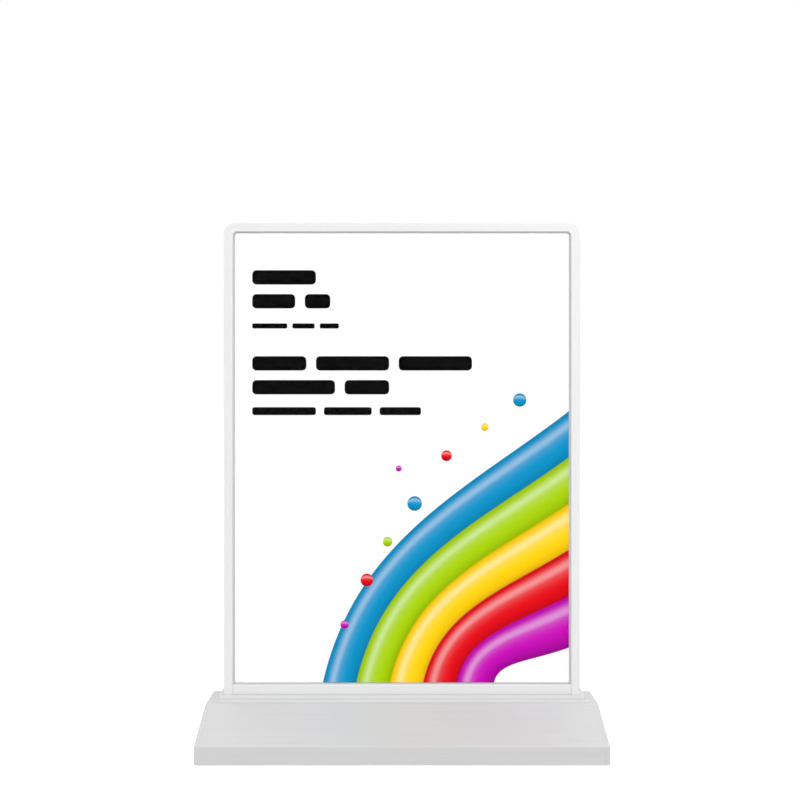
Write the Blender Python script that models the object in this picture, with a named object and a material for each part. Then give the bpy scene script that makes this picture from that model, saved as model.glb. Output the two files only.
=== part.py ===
"""Desk light box: a lit, double-sided A4 panel standing in the slot of a long extruded base.

The base lies along X and the panel faces -Y and +Y. The origin is on the surface that the rubber
feet stand on, under the middle of the base. Sizes are in metres.
"""

import math

import bmesh
import bpy

MM = 0.001

# Clearances
GAP = 0.3 * MM
OVERRUN = 2.0 * MM

# Sheet that the panel shows
SHEET_WIDTH = 210.0 * MM
SHEET_HEIGHT = 297.0 * MM
SHEET_THICKNESS = 0.3 * MM

# Base extrusion
BASE_LENGTH = 243.7 * MM
BASE_DEPTH = 90.0 * MM
BASE_TOP = 25.6 * MM
BASE_UNDER = 0.4 * MM
SIDE_HEIGHT = 11.0 * MM
FLAT_HALF = 12.0 * MM
SIDE_RADIUS = 3.0 * MM
SHOULDER_RADIUS = 4.0 * MM
BASE_WALL = 1.8 * MM
CAP_THICKNESS = 3.0 * MM
CAP_ROUND = 2.4 * MM
CAP_ROUND_STEPS = 5
SLOPE = math.atan2(BASE_TOP - SIDE_HEIGHT, BASE_DEPTH / 2 - FLAT_HALF)
SHELL_HALF = BASE_LENGTH / 2 - CAP_THICKNESS - GAP

# Screw ports, the slit tubes along the extrusion's lower corners
PORT_Y = 40.6 * MM
PORT_Z = 6.5 * MM
PORT_HALF_HEIGHT = 3.0 * MM
PORT_INNER_Y = 38.0 * MM
PORT_BORE = 1.3 * MM
PORT_SLIT_HALF = 0.5 * MM

# Screws
SCREW_HEAD_RADIUS = 2.6 * MM
SCREW_HEAD_HEIGHT = 0.9 * MM
SCREW_SHANK_RADIUS = 1.1 * MM
SCREW_SHANK = 10.0 * MM
SCREW_HOLE = 1.5 * MM
RECESS_RADIUS = 2.9 * MM
RECESS_DEPTH = 1.3 * MM
BOARD_SCREW_HEAD_RADIUS = 1.9 * MM
BOARD_SCREW_SHANK_RADIUS = 0.8 * MM
BOARD_SCREW_SHANK = 3.9 * MM
FOOT_SCREW_SHANK = 11.6 * MM

# Bottom plate and feet
PLATE_LOW = 1.2 * MM
PLATE_TOP = 3.2 * MM
PLATE_HALF_LENGTH = 118.2 * MM
PLATE_HALF_DEPTH = BASE_DEPTH / 2 - BASE_WALL - GAP
PLATE_RADIUS = 2.0 * MM
INSIDE_FLOOR = PLATE_TOP + GAP
PLATE_SCREW_X = 95.0 * MM
PLATE_SCREW_Y = 11.2 * MM
FOOT_X = 105.0 * MM
FOOT_Y = 34.0 * MM
FOOT_RADIUS = 6.0 * MM
FOOT_THICKNESS = PLATE_LOW - GAP

# Panel, measured from the foot of its rim
PANEL_FOOT_Z = 14.0 * MM
PANEL_WIDTH = 222.8 * MM
PANEL_HEIGHT = 310.4 * MM
PANEL_DEPTH = 14.0 * MM
RIM_FACE = 5.6 * MM
RIM_RADIUS = 6.8 * MM
RIM_EDGE = 0.9 * MM
GROOVE_DEPTH = 1.5 * MM
GUIDE_THICKNESS = 4.0 * MM
DIFFUSER_THICKNESS = 0.8 * MM
BAR_TOP = 22.0 * MM
BAR_STEP = 6.2 * MM
BAR_FACE_Y = 6.6 * MM
BAR_EDGE = 0.5 * MM
COVER_WIDTH = 209.1 * MM
COVER_LOW = 23.1 * MM
COVER_THICKNESS = 2.0 * MM
COVER_RADIUS = 1.5 * MM
COVER_EDGE = 0.3 * MM
GASKET_WIDTH = 0.65 * MM
GASKET_THICKNESS = 1.9 * MM
FOOT_SCREW_X = 92.0 * MM
FOOT_SCREW_Z = 3.3 * MM

# Layers of the panel, as distances from its middle plane
DIFFUSER_Y = GUIDE_THICKNESS / 2 + GAP
SHEET_Y = DIFFUSER_Y + DIFFUSER_THICKNESS + GAP
COVER_Y = SHEET_Y + SHEET_THICKNESS + GAP
OPENING_HALF = PANEL_WIDTH / 2 - RIM_FACE
OPENING_TOP = PANEL_HEIGHT - RIM_FACE
SHEET_LOW = OPENING_TOP - 1.3 * MM - SHEET_HEIGHT
COVER_TOP = SHEET_LOW + SHEET_HEIGHT
GASKET_RADIUS = COVER_RADIUS + GAP
OPENING_RADIUS = GASKET_RADIUS + GASKET_WIDTH + GAP

# Slot collar and the trough below it
COLLAR_TOP = 29.1 * MM
COLLAR_HALF_LENGTH = 115.0 * MM
COLLAR_HALF_DEPTH = 9.8 * MM
COLLAR_CORNER = 2.5 * MM
COLLAR_ROUND = 1.0 * MM
COLLAR_ROUND_STEPS = 4
SLOT_HALF_LENGTH = PANEL_WIDTH / 2 + GAP
SLOT_HALF_DEPTH = PANEL_DEPTH / 2 + GAP
TROUGH_WALL = 1.2 * MM
TROUGH_LOW = 8.5 * MM
TRENCH_LOW = 10.0 * MM
TRENCH_HALF_LENGTH = 103.0 * MM
PILLAR_RADIUS = 3.0 * MM
PILLAR_TOP = 20.0 * MM
PILLAR_BORE_TOP = 14.0 * MM
LEAD_HOLE_X = 100.0 * MM
LEAD_HOLE_RADIUS = 1.6 * MM

# Light strip
CHANNEL_HALF_LENGTH = 96.5 * MM
CHANNEL_HALF_DEPTH = 5.3 * MM
CHANNEL_WALL = 1.0 * MM
CHANNEL_HEIGHT = 2.3 * MM
STRIP_HALF_LENGTH = 96.2 * MM
STRIP_HALF_DEPTH = 4.0 * MM
STRIP_THICKNESS = 1.0 * MM
LAMP_COUNT = 24
LAMP_LENGTH = 3.5 * MM
LAMP_DEPTH = 2.8 * MM
LAMP_HEIGHT = 0.8 * MM

# Battery, on the front side of the slot
CELL_RADIUS = 7.1 * MM
CELL_LENGTH = 50.0 * MM
CELL_Y = -17.65 * MM
TRAY_WALL = 1.2 * MM
TRAY_HEIGHT = 6.0 * MM
TRAY_HALF_LENGTH = 54.0 * MM
TRAY_HALF_DEPTH = 8.55 * MM
CELL_Z = INSIDE_FLOOR + TRAY_WALL + GAP + CELL_RADIUS

# Ballast bars
BALLAST_HEIGHT = 6.0 * MM
FRONT_BALLAST = (-112.0 * MM, 112.0 * MM, -35.5 * MM, -28.0 * MM)
REAR_BALLAST = (-112.0 * MM, 8.0 * MM, 24.0 * MM, 34.0 * MM)

# Control board, on the rear side of the slot
BOARD_LEFT = 20.0 * MM
BOARD_RIGHT = 84.0 * MM
BOARD_INNER_Y = 11.2 * MM
BOARD_OUTER_Y = 36.5 * MM
BOARD_LOW = 3.8 * MM
BOARD_TOP = 5.4 * MM
BOARD_TONGUE_HALF = 6.0 * MM
BOARD_TONGUE_Y = 42.6 * MM
BOARD_SCREW_HOLE = 1.1 * MM
BOARD_SCREWS = ((24.0 * MM, 32.5 * MM), (80.0 * MM, 32.5 * MM))
# Middle of each component, and its length, depth and height, in millimetres
BOARD_PARTS = (
    ((27.0, 20.0), (6.0, 6.0, 3.0)),
    ((40.0, 18.0), (5.0, 5.0, 1.0)),
    ((52.0, 20.0), (4.0, 8.0, 2.0)),
    ((68.0, 24.0), (7.0, 4.0, 1.6)),
)
SOCKET_X = 62.0 * MM
SOCKET_WIDTH = 9.0 * MM
SOCKET_HEIGHT = 3.2 * MM
SOCKET_LENGTH = 7.3 * MM
SOCKET_WALL = 0.4 * MM
SOCKET_Z = BOARD_TOP + GAP + SOCKET_HEIGHT / 2
SOCKET_MOUTH_Y = 44.7 * MM
BATTERY_PLUG = (30.0 * MM, 13.9 * MM)
LED_PLUG = (76.0 * MM, 15.0 * MM)
PLUG_SIZE = (6.0 * MM, 4.8 * MM, 4.2 * MM)
PLUG_LEAD_Z = 7.4 * MM
LEAD_RADIUS = 0.8 * MM

# Power button and charge light, on the rear slope
BUTTON_X = 36.0 * MM
BUTTON_Y = 27.0 * MM
BUTTON_RADIUS = 5.0 * MM
BUTTON_FLANGE_RADIUS = 6.2 * MM
BUTTON_LOW = 12.5 * MM
BUTTON_FLANGE_TOP = 13.6 * MM
BUTTON_PROUD = 0.9 * MM
BUTTON_EDGE = 0.5 * MM
SWITCH_HALF = 3.5 * MM
SWITCH_TOP = 9.7 * MM
SWITCH_WELL_LOW = 7.0 * MM
PLUNGER_RADIUS = 2.0 * MM
PLUNGER_LOW = 8.3 * MM
LIGHT_X = 52.0 * MM
LIGHT_RADIUS = 1.5 * MM
LIGHT_LOW = 7.5 * MM
LIGHT_PROUD = 0.2 * MM

# Colour, roughness, metallic and transmission of each finish
FINISHES = {
    "satin_aluminium": ((0.70, 0.70, 0.71), 0.38, 1.0, 0.0),
    "pale_aluminium": ((0.82, 0.82, 0.83), 0.42, 1.0, 0.0),
    "steel": ((0.55, 0.55, 0.56), 0.35, 1.0, 0.0),
    "grey_plastic": ((0.66, 0.66, 0.67), 0.45, 0.0, 0.0),
    "dark_plastic": ((0.05, 0.05, 0.055), 0.5, 0.0, 0.0),
    "white_plastic": ((0.88, 0.88, 0.88), 0.5, 0.0, 0.0),
    "grey_rubber": ((0.20, 0.20, 0.21), 0.7, 0.0, 0.0),
    "black_rubber": ((0.03, 0.03, 0.03), 0.85, 0.0, 0.0),
    "clear_acrylic": ((0.96, 0.98, 0.98), 0.05, 0.0, 1.0),
    "paper": ((0.93, 0.93, 0.93), 0.6, 0.0, 0.0),
    "circuit_board": ((0.03, 0.22, 0.10), 0.5, 0.0, 0.0),
    "cell_wrap": ((0.10, 0.25, 0.55), 0.4, 0.0, 0.0),
    "red_lead": ((0.60, 0.04, 0.03), 0.5, 0.0, 0.0),
}


# Outlines


def rounded(corners, steps=6):
    """Points of a closed outline whose corners (a, b, radius) are rounded with arcs."""
    points = []
    count = len(corners)
    for i, (a, b, radius) in enumerate(corners):
        if radius <= 0.0:
            points.append((a, b))
            continue
        before, after = corners[i - 1], corners[(i + 1) % count]
        to_before = math.atan2(before[1] - b, before[0] - a)
        to_after = math.atan2(after[1] - b, after[0] - a)
        turn = (to_after - to_before + math.pi) % (2 * math.pi) - math.pi
        reach = radius / math.tan(abs(turn) / 2)
        middle = to_before + turn / 2
        away = radius / math.sin(abs(turn) / 2)
        centre = (a + away * math.cos(middle), b + away * math.sin(middle))
        first = (a + reach * math.cos(to_before), b + reach * math.sin(to_before))
        start = math.atan2(first[1] - centre[1], first[0] - centre[0])
        sweep = math.copysign(math.pi - abs(turn), -turn)
        for k in range(steps + 1):
            angle = start + sweep * k / steps
            points.append((centre[0] + radius * math.cos(angle), centre[1] + radius * math.sin(angle)))
    return points


def rectangle(low_a, high_a, low_b, high_b, radius=0.0, steps=4):
    """A rectangle's outline, with all four corners rounded alike."""
    corners = [(low_a, low_b), (high_a, low_b), (high_a, high_b), (low_a, high_b)]
    return rounded([(a, b, radius) for a, b in corners], steps)


def slope_height(y, inset=0.0):
    """Height of the base's sloping face at this y, or of a face that lies inset below it."""
    return SIDE_HEIGHT + (BASE_DEPTH / 2 - abs(y)) * math.tan(SLOPE) - inset / math.cos(SLOPE)


def slope_reach(z, inset=0.0):
    """Distance from the middle plane at which the sloping face has this height."""
    return BASE_DEPTH / 2 - (z - SIDE_HEIGHT + inset / math.cos(SLOPE)) / math.tan(SLOPE)


def arch_corners(inset=0.0):
    """Corners of the arch's outer line, from the rear foot over the top to the front foot."""
    side = BASE_DEPTH / 2 - inset
    top = BASE_TOP - inset
    half = [
        (side, BASE_UNDER, 0.0),
        (side, slope_height(side, inset), max(SIDE_RADIUS - inset, 0.5 * MM)),
        (slope_reach(top, inset), top, max(SHOULDER_RADIUS - inset, 0.5 * MM)),
    ]
    return half + [(-y, z, radius) for y, z, radius in reversed(half)]


# Mesh building


def to_space(axis, a, b, c):
    """The point at a and b in the outline's plane and at c along the axis."""
    return {"X": (c, a, b), "Y": (a, c, b), "Z": (a, b, c)}[axis]


def lofted(sections, axis):
    """A closed mesh through outlines of equal length, given as (outline, place along the axis)."""
    bm = bmesh.new()
    rings = [[bm.verts.new(to_space(axis, a, b, c)) for a, b in outline] for outline, c in sections]
    for lower, upper in zip(rings, rings[1:]):
        for i in range(len(lower)):
            bm.faces.new((lower[i - 1], lower[i], upper[i], upper[i - 1]))
    bm.faces.new(rings[0])
    bm.faces.new(rings[-1])
    bmesh.ops.recalc_face_normals(bm, faces=bm.faces)
    return bm


def prism(outline, axis, low, high):
    """A closed mesh of one outline, extruded along an axis."""
    return lofted([(outline, low), (outline, high)], axis)


def block(x, y, z):
    """A box between the two limits of each axis."""
    return prism(rectangle(*x, *y), "Z", *z)


def rod(radius, axis, centre, low, high, sides=20):
    """A round rod along an axis, about a centre given in the plane across it."""
    turns = [2 * math.pi * i / sides for i in range(sides)]
    circle = [(centre[0] + radius * math.cos(t), centre[1] + radius * math.sin(t)) for t in turns]
    return prism(circle, axis, low, high)


def turned(profile, sides=20):
    """A closed mesh spun about Z from (radius, height) points that start and end on the axis."""
    bm = bmesh.new()
    verts = [bm.verts.new((radius, 0.0, height)) for radius, height in profile]
    edges = [bm.edges.new(pair) for pair in zip(verts, verts[1:])]
    bmesh.ops.spin(
        bm, geom=verts + edges, cent=(0, 0, 0), axis=(0, 0, 1), angle=2 * math.pi, steps=sides,
        use_merge=True,
    )
    bmesh.ops.remove_doubles(bm, verts=bm.verts, dist=0.01 * MM)
    bmesh.ops.recalc_face_normals(bm, faces=bm.faces)
    return bm


def round_edges(bm, chosen, width, segments=2):
    """Rounds the edges for which chosen(edge) is true."""
    edges = [edge for edge in bm.edges if chosen(edge)]
    bmesh.ops.bevel(bm, geom=edges, offset=width, segments=segments, profile=0.5, affect="EDGES")
    bmesh.ops.recalc_face_normals(bm, faces=bm.faces)
    return bm


def faces_meet_square(edge):
    """True for an edge between two faces at a right angle or so."""
    return len(edge.link_faces) == 2 and edge.calc_face_angle(0.0) > math.radians(60)


# Objects


def new_object(name, bm, finish, parent=None, location=(0, 0, 0)):
    """Makes a named object from a mesh under construction and gives it its own material."""
    mesh = bpy.data.meshes.new(name)
    bm.to_mesh(mesh)
    bm.free()
    return place_mesh(name, mesh, finish, parent, location)


def place_mesh(name, mesh, finish, parent=None, location=(0, 0, 0), rotation=(0, 0, 0)):
    """Makes a named object that uses this mesh."""
    obj = bpy.data.objects.new(name, mesh)
    bpy.context.scene.collection.objects.link(obj)
    obj.parent = parent
    obj.location = location
    obj.rotation_euler = rotation
    if not mesh.materials:
        mesh.materials.append(None)
    obj.material_slots[0].link = "OBJECT"
    obj.material_slots[0].material = new_material(f"{name}_{finish}", *FINISHES[finish])
    mesh.shade_smooth()
    mesh.set_sharp_from_angle(angle=math.radians(35))
    return obj


def new_material(name, colour, roughness, metallic, transmission):
    """A Principled material of one colour."""
    mat = bpy.data.materials.new(name)
    mat.use_nodes = True
    shader = mat.node_tree.nodes["Principled BSDF"]
    shader.inputs["Base Color"].default_value = (*colour, 1.0)
    shader.inputs["Roughness"].default_value = roughness
    shader.inputs["Metallic"].default_value = metallic
    shader.inputs["Transmission Weight"].default_value = transmission
    return mat


def new_pivot(name, location, parent=None):
    """An empty that stands on a joint's axis and carries what the joint moves."""
    empty = bpy.data.objects.new(name, None)
    bpy.context.scene.collection.objects.link(empty)
    empty.parent = parent
    empty.location = location
    return empty


def combine(obj, operation, bm, name):
    """Adds a Boolean that joins a mesh to the object or cuts it out."""
    mesh = bpy.data.meshes.new(name)
    bm.to_mesh(mesh)
    bm.free()
    other = bpy.data.objects.new(name, mesh)
    bpy.context.scene.collection.objects.link(other)
    other.parent = obj
    other.hide_render = True
    other.display_type = "WIRE"
    modifier = obj.modifiers.new(name, "BOOLEAN")
    modifier.operation = operation
    modifier.solver = "EXACT"
    modifier.object = other


def cut(obj, bm, name):
    combine(obj, "DIFFERENCE", bm, f"{obj.name}_{name}")


def join(obj, bm, name):
    combine(obj, "UNION", bm, f"{obj.name}_{name}")


def screw_mesh(head_radius, shank_radius, shank):
    """A low pan-head screw with a cross recess; its head's underside is at the origin."""
    dome = 0.25 * MM
    flat = 0.7 * head_radius
    bm = turned([
        (0.0, SCREW_HEAD_HEIGHT),
        (flat, SCREW_HEAD_HEIGHT),
        (head_radius, SCREW_HEAD_HEIGHT - dome),
        (head_radius, 0.0),
        (shank_radius, 0.0),
        (shank_radius, -shank + shank_radius),
        (0.3 * shank_radius, -shank),
        (0.0, -shank),
    ], 16)
    screw = new_object("screw_pattern", bm, "steel")
    arm, half_width, floor = 0.6 * head_radius, 0.13 * head_radius, SCREW_HEAD_HEIGHT - 0.5 * MM
    top = SCREW_HEAD_HEIGHT + OVERRUN
    cut(screw, block((-arm, arm), (-half_width, half_width), (floor, top)), "cross_1")
    cut(screw, block((-half_width, half_width), (-arm, arm), (floor, top)), "cross_2")
    bpy.context.view_layer.update()
    finished = bpy.data.meshes.new_from_object(screw.evaluated_get(bpy.context.evaluated_depsgraph_get()))
    for child in list(screw.children):
        bpy.data.objects.remove(child)
    bpy.data.objects.remove(screw)
    return finished


# Base


def make_base_shell():
    """The arched extrusion: open below and at its ends, with a screw port along each lower corner."""
    inner_side = BASE_DEPTH / 2 - BASE_WALL
    port_low, port_high = PORT_Z - PORT_HALF_HEIGHT, PORT_Z + PORT_HALF_HEIGHT
    slit_angle = math.asin(PORT_SLIT_HALF / PORT_BORE)
    bore_steps = 12
    bore = []
    for k in range(bore_steps + 1):
        angle = math.pi + slit_angle + (2 * math.pi - 2 * slit_angle) * k / bore_steps
        bore.append((PORT_Y + PORT_BORE * math.cos(angle), PORT_Z + PORT_BORE * math.sin(angle)))
    inner_half = [
        (inner_side, BASE_UNDER),
        (inner_side, port_low),
        (PORT_INNER_Y, port_low),
        (PORT_INNER_Y, PORT_Z - PORT_SLIT_HALF),
        *bore,
        (PORT_INNER_Y, PORT_Z + PORT_SLIT_HALF),
        (PORT_INNER_Y, port_high),
        (inner_side, port_high),
        (inner_side, slope_height(inner_side, BASE_WALL)),
        (slope_reach(BASE_TOP - BASE_WALL, BASE_WALL), BASE_TOP - BASE_WALL),
    ]
    inner = inner_half + [(-y, z) for y, z in reversed(inner_half)]
    outer = rounded(arch_corners())
    shell = new_object(
        "base_shell", prism(outer + inner[::-1], "X", -SHELL_HALF, SHELL_HALF), "satin_aluminium"
    )
    slot_x = SLOT_HALF_LENGTH + TROUGH_WALL + GAP
    slot_y = SLOT_HALF_DEPTH + TROUGH_WALL + GAP
    above = BASE_TOP + OVERRUN
    cut(shell, block((-slot_x, slot_x), (-slot_y, slot_y), (TROUGH_LOW, above)), "panel_slot")
    hole = (BUTTON_X, BUTTON_Y)
    cut(shell, rod(BUTTON_RADIUS + GAP, "Z", hole, BUTTON_LOW, above, 32), "button_hole")
    cut(shell, rod(LIGHT_RADIUS + GAP, "Z", (LIGHT_X, BUTTON_Y), BUTTON_LOW, above), "light_hole")
    notch_x = (SOCKET_X - 8.0 * MM, SOCKET_X + 8.0 * MM)
    notch_y = (PORT_INNER_Y - OVERRUN, inner_side + 0.1 * MM)
    cut(shell, block(notch_x, notch_y, (BASE_UNDER + OVERRUN, port_high + 0.2 * MM)), "board_notch")
    mouth = rectangle(
        SOCKET_X - SOCKET_WIDTH / 2 - GAP, SOCKET_X + SOCKET_WIDTH / 2 + GAP,
        SOCKET_Z - SOCKET_HEIGHT / 2 - GAP, SOCKET_Z + SOCKET_HEIGHT / 2 + GAP, 1.7 * MM,
    )
    cut(shell, prism(mouth, "Y", inner_side - OVERRUN, BASE_DEPTH / 2 + OVERRUN), "socket_mouth")


def make_end_cap(name, side):
    """A plate that closes one end, its outer edge rounded over all but the flat underside."""
    inner_x = BASE_LENGTH / 2 - CAP_THICKNESS
    sections = [(rounded(arch_corners()), side * inner_x)]
    for k in range(CAP_ROUND_STEPS + 1):
        angle = math.pi / 2 * k / CAP_ROUND_STEPS
        inset = CAP_ROUND * (1 - math.cos(angle))
        x = BASE_LENGTH / 2 - CAP_ROUND * (1 - math.sin(angle))
        sections.append((rounded(arch_corners(inset)), side * x))
    cap = new_object(name, lofted(sections, "X"), "satin_aluminium")
    outside = side * (BASE_LENGTH / 2 + OVERRUN)
    recess_floor = side * (BASE_LENGTH / 2 - RECESS_DEPTH)
    through = side * (inner_x - OVERRUN)
    for label, y in (("front", -PORT_Y), ("rear", PORT_Y)):
        cut(cap, rod(SCREW_HOLE, "X", (y, PORT_Z), *sorted((through, outside))), f"{label}_hole")
        cut(cap, rod(RECESS_RADIUS, "X", (y, PORT_Z), *sorted((recess_floor, outside)), 24),
            f"{label}_recess")


def make_cap_screws(mesh):
    """Two screws through each end cap into the screw ports."""
    seat = BASE_LENGTH / 2 - RECESS_DEPTH + GAP
    for side_name, side in (("left", -1), ("right", 1)):
        for end_name, y in (("front", -PORT_Y), ("rear", PORT_Y)):
            place_mesh(
                f"{side_name}_cap_screw_{end_name}", mesh, "steel", None,
                (side * seat, y, PORT_Z), (0, side * math.pi / 2, 0),
            )


def make_slot_collar():
    """The collar on top of the base, the trough under it and the pillars for the bottom screws."""
    trough_x = SLOT_HALF_LENGTH + TROUGH_WALL
    trough_y = SLOT_HALF_DEPTH + TROUGH_WALL
    collar_low = BASE_TOP + GAP
    collar = new_object(
        "slot_collar",
        block((-trough_x, trough_x), (-trough_y, trough_y), (TROUGH_LOW, collar_low + 1.0 * MM)),
        "grey_plastic",
    )

    def ring(inset):
        x, y = COLLAR_HALF_LENGTH - inset, COLLAR_HALF_DEPTH - inset
        return rectangle(-x, x, -y, y, COLLAR_CORNER - inset)

    sections = [(ring(0.0), collar_low)]
    for k in range(COLLAR_ROUND_STEPS + 1):
        angle = math.pi / 2 * k / COLLAR_ROUND_STEPS
        height = COLLAR_TOP - COLLAR_ROUND * (1 - math.sin(angle))
        sections.append((ring(COLLAR_ROUND * (1 - math.cos(angle))), height))
    join(collar, lofted(sections, "Z"), "rim")
    corners = [(sx * PLATE_SCREW_X, sy * PLATE_SCREW_Y) for sx in (-1, 1) for sy in (-1, 1)]
    for number, corner in enumerate(corners, 1):
        join(collar, rod(PILLAR_RADIUS, "Z", corner, INSIDE_FLOOR, PILLAR_TOP), f"pillar_{number}")
    above = COLLAR_TOP + OVERRUN
    slot_x, slot_y = SLOT_HALF_LENGTH, SLOT_HALF_DEPTH
    cut(collar, block((-slot_x, slot_x), (-slot_y, slot_y), (PANEL_FOOT_Z - GAP, above)), "slot")
    trench_x = TRENCH_HALF_LENGTH
    cut(collar, block((-trench_x, trench_x), (-slot_y, slot_y), (TRENCH_LOW, above)), "trench")
    for number, corner in enumerate(corners, 1):
        bore = rod(PORT_BORE, "Z", corner, INSIDE_FLOOR - OVERRUN, PILLAR_BORE_TOP, 12)
        cut(collar, bore, f"bore_{number}")
    lead_hole = rod(LEAD_HOLE_RADIUS, "Z", (LEAD_HOLE_X, 0.0), TROUGH_LOW - OVERRUN, above, 12)
    cut(collar, lead_hole, "lead_hole")


def make_bottom_plate():
    """The plate that closes the base from below, with recessed screw holes."""
    outline = rectangle(
        -PLATE_HALF_LENGTH, PLATE_HALF_LENGTH, -PLATE_HALF_DEPTH, PLATE_HALF_DEPTH, PLATE_RADIUS
    )
    plate = new_object("bottom_plate", prism(outline, "Z", PLATE_LOW, PLATE_TOP), "grey_plastic")
    below, above = PLATE_LOW - OVERRUN, PLATE_TOP + OVERRUN
    number = 0
    for sx in (-1, 1):
        for sy in (-1, 1):
            number += 1
            place = (sx * PLATE_SCREW_X, sy * PLATE_SCREW_Y)
            cut(plate, rod(SCREW_HOLE, "Z", place, below, above, 16), f"hole_{number}")
            recess_top = PLATE_LOW + SCREW_HEAD_HEIGHT + GAP
            cut(plate, rod(RECESS_RADIUS, "Z", place, below, recess_top, 24), f"recess_{number}")
    for number, place in enumerate(BOARD_SCREWS, 1):
        cut(plate, rod(BOARD_SCREW_HOLE, "Z", place, below, above, 12), f"board_hole_{number}")


def make_bottom_screws(mesh):
    number = 0
    for sx in (-1, 1):
        for sy in (-1, 1):
            number += 1
            place = (sx * PLATE_SCREW_X, sy * PLATE_SCREW_Y, PLATE_LOW + SCREW_HEAD_HEIGHT)
            place_mesh(f"bottom_screw_{number}", mesh, "steel", None, place, (math.pi, 0, 0))


def make_feet():
    """Four thin rubber pads under the bottom plate."""
    edge = 0.3 * MM
    bm = turned([
        (0.0, FOOT_THICKNESS),
        (FOOT_RADIUS, FOOT_THICKNESS),
        (FOOT_RADIUS, edge),
        (FOOT_RADIUS - edge, 0.0),
        (0.0, 0.0),
    ], 28)
    mesh = bpy.data.meshes.new("rubber_foot")
    bm.to_mesh(mesh)
    bm.free()
    number = 0
    for sx in (-1, 1):
        for sy in (-1, 1):
            number += 1
            place_mesh(f"rubber_foot_{number}", mesh, "black_rubber", None, (sx * FOOT_X, sy * FOOT_Y, 0))


def make_ballast():
    """Steel bars on the bottom plate, in front of and behind the slot."""
    for name, (left, right, front, rear) in (
        ("front_ballast_bar", FRONT_BALLAST), ("rear_ballast_bar", REAR_BALLAST)
    ):
        bm = block((left, right), (front, rear), (INSIDE_FLOOR, INSIDE_FLOOR + BALLAST_HEIGHT))
        round_edges(bm, faces_meet_square, 0.5 * MM, 1)
        new_object(name, bm, "steel")


def make_battery():
    """Two cells end to end in an open tray."""
    low, high = INSIDE_FLOOR, INSIDE_FLOOR + TRAY_HEIGHT
    y_low, y_high = CELL_Y - TRAY_HALF_DEPTH, CELL_Y + TRAY_HALF_DEPTH
    tray = new_object(
        "battery_tray",
        block((-TRAY_HALF_LENGTH, TRAY_HALF_LENGTH), (y_low, y_high), (low, high)),
        "dark_plastic",
    )
    rib_half = 1.0 * MM
    inner_y = (y_low + TRAY_WALL, y_high - TRAY_WALL)
    inner_z = (low + TRAY_WALL, high + OVERRUN)
    for name, side in (("left", -1), ("right", 1)):
        inner_x = sorted((side * rib_half, side * (TRAY_HALF_LENGTH - TRAY_WALL)))
        cut(tray, block(inner_x, inner_y, inner_z), f"{name}_bay")
    nub_radius, nub_height, edge = 2.6 * MM, 0.9 * MM, 0.4 * MM
    bm = turned([
        (0.0, CELL_LENGTH),
        (nub_radius, CELL_LENGTH),
        (nub_radius, CELL_LENGTH - nub_height),
        (CELL_RADIUS - edge, CELL_LENGTH - nub_height),
        (CELL_RADIUS, CELL_LENGTH - nub_height - edge),
        (CELL_RADIUS, edge),
        (CELL_RADIUS - edge, 0.0),
        (0.0, 0.0),
    ], 28)
    mesh = bpy.data.meshes.new("battery_cell")
    bm.to_mesh(mesh)
    bm.free()
    first = -TRAY_HALF_LENGTH + TRAY_WALL + 0.75 * MM
    second = rib_half + 0.75 * MM
    for number, x in enumerate((first, second), 1):
        place = (x, CELL_Y, CELL_Z)
        place_mesh(f"battery_cell_{number}", mesh, "cell_wrap", None, place, (0, math.pi / 2, 0))


def make_control_board(screw):
    """The charge and switch board, with a tongue that carries the socket through the wall."""
    tongue_left, tongue_right = SOCKET_X - BOARD_TONGUE_HALF, SOCKET_X + BOARD_TONGUE_HALF
    outline = [
        (BOARD_LEFT, BOARD_INNER_Y), (BOARD_RIGHT, BOARD_INNER_Y), (BOARD_RIGHT, BOARD_OUTER_Y),
        (tongue_right, BOARD_OUTER_Y), (tongue_right, BOARD_TONGUE_Y), (tongue_left, BOARD_TONGUE_Y),
        (tongue_left, BOARD_OUTER_Y), (BOARD_LEFT, BOARD_OUTER_Y),
    ]
    board = new_object("control_board", prism(outline, "Z", BOARD_LOW, BOARD_TOP), "circuit_board")
    for number, ((x, y), (length, depth, height)) in enumerate(BOARD_PARTS, 1):
        x_limits = ((x - length / 2) * MM, (x + length / 2) * MM)
        y_limits = ((y - depth / 2) * MM, (y + depth / 2) * MM)
        z_limits = (BOARD_TOP - 0.4 * MM, BOARD_TOP + height * MM)
        join(board, block(x_limits, y_limits, z_limits), f"component_{number}")
    for number, place in enumerate(BOARD_SCREWS, 1):
        hole = rod(BOARD_SCREW_HOLE, "Z", place, BOARD_LOW - OVERRUN, BOARD_TOP + OVERRUN, 12)
        cut(board, hole, f"hole_{number}")
        place_mesh(f"board_screw_{number}", screw, "steel", None, (*place, BOARD_TOP + GAP))


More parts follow.
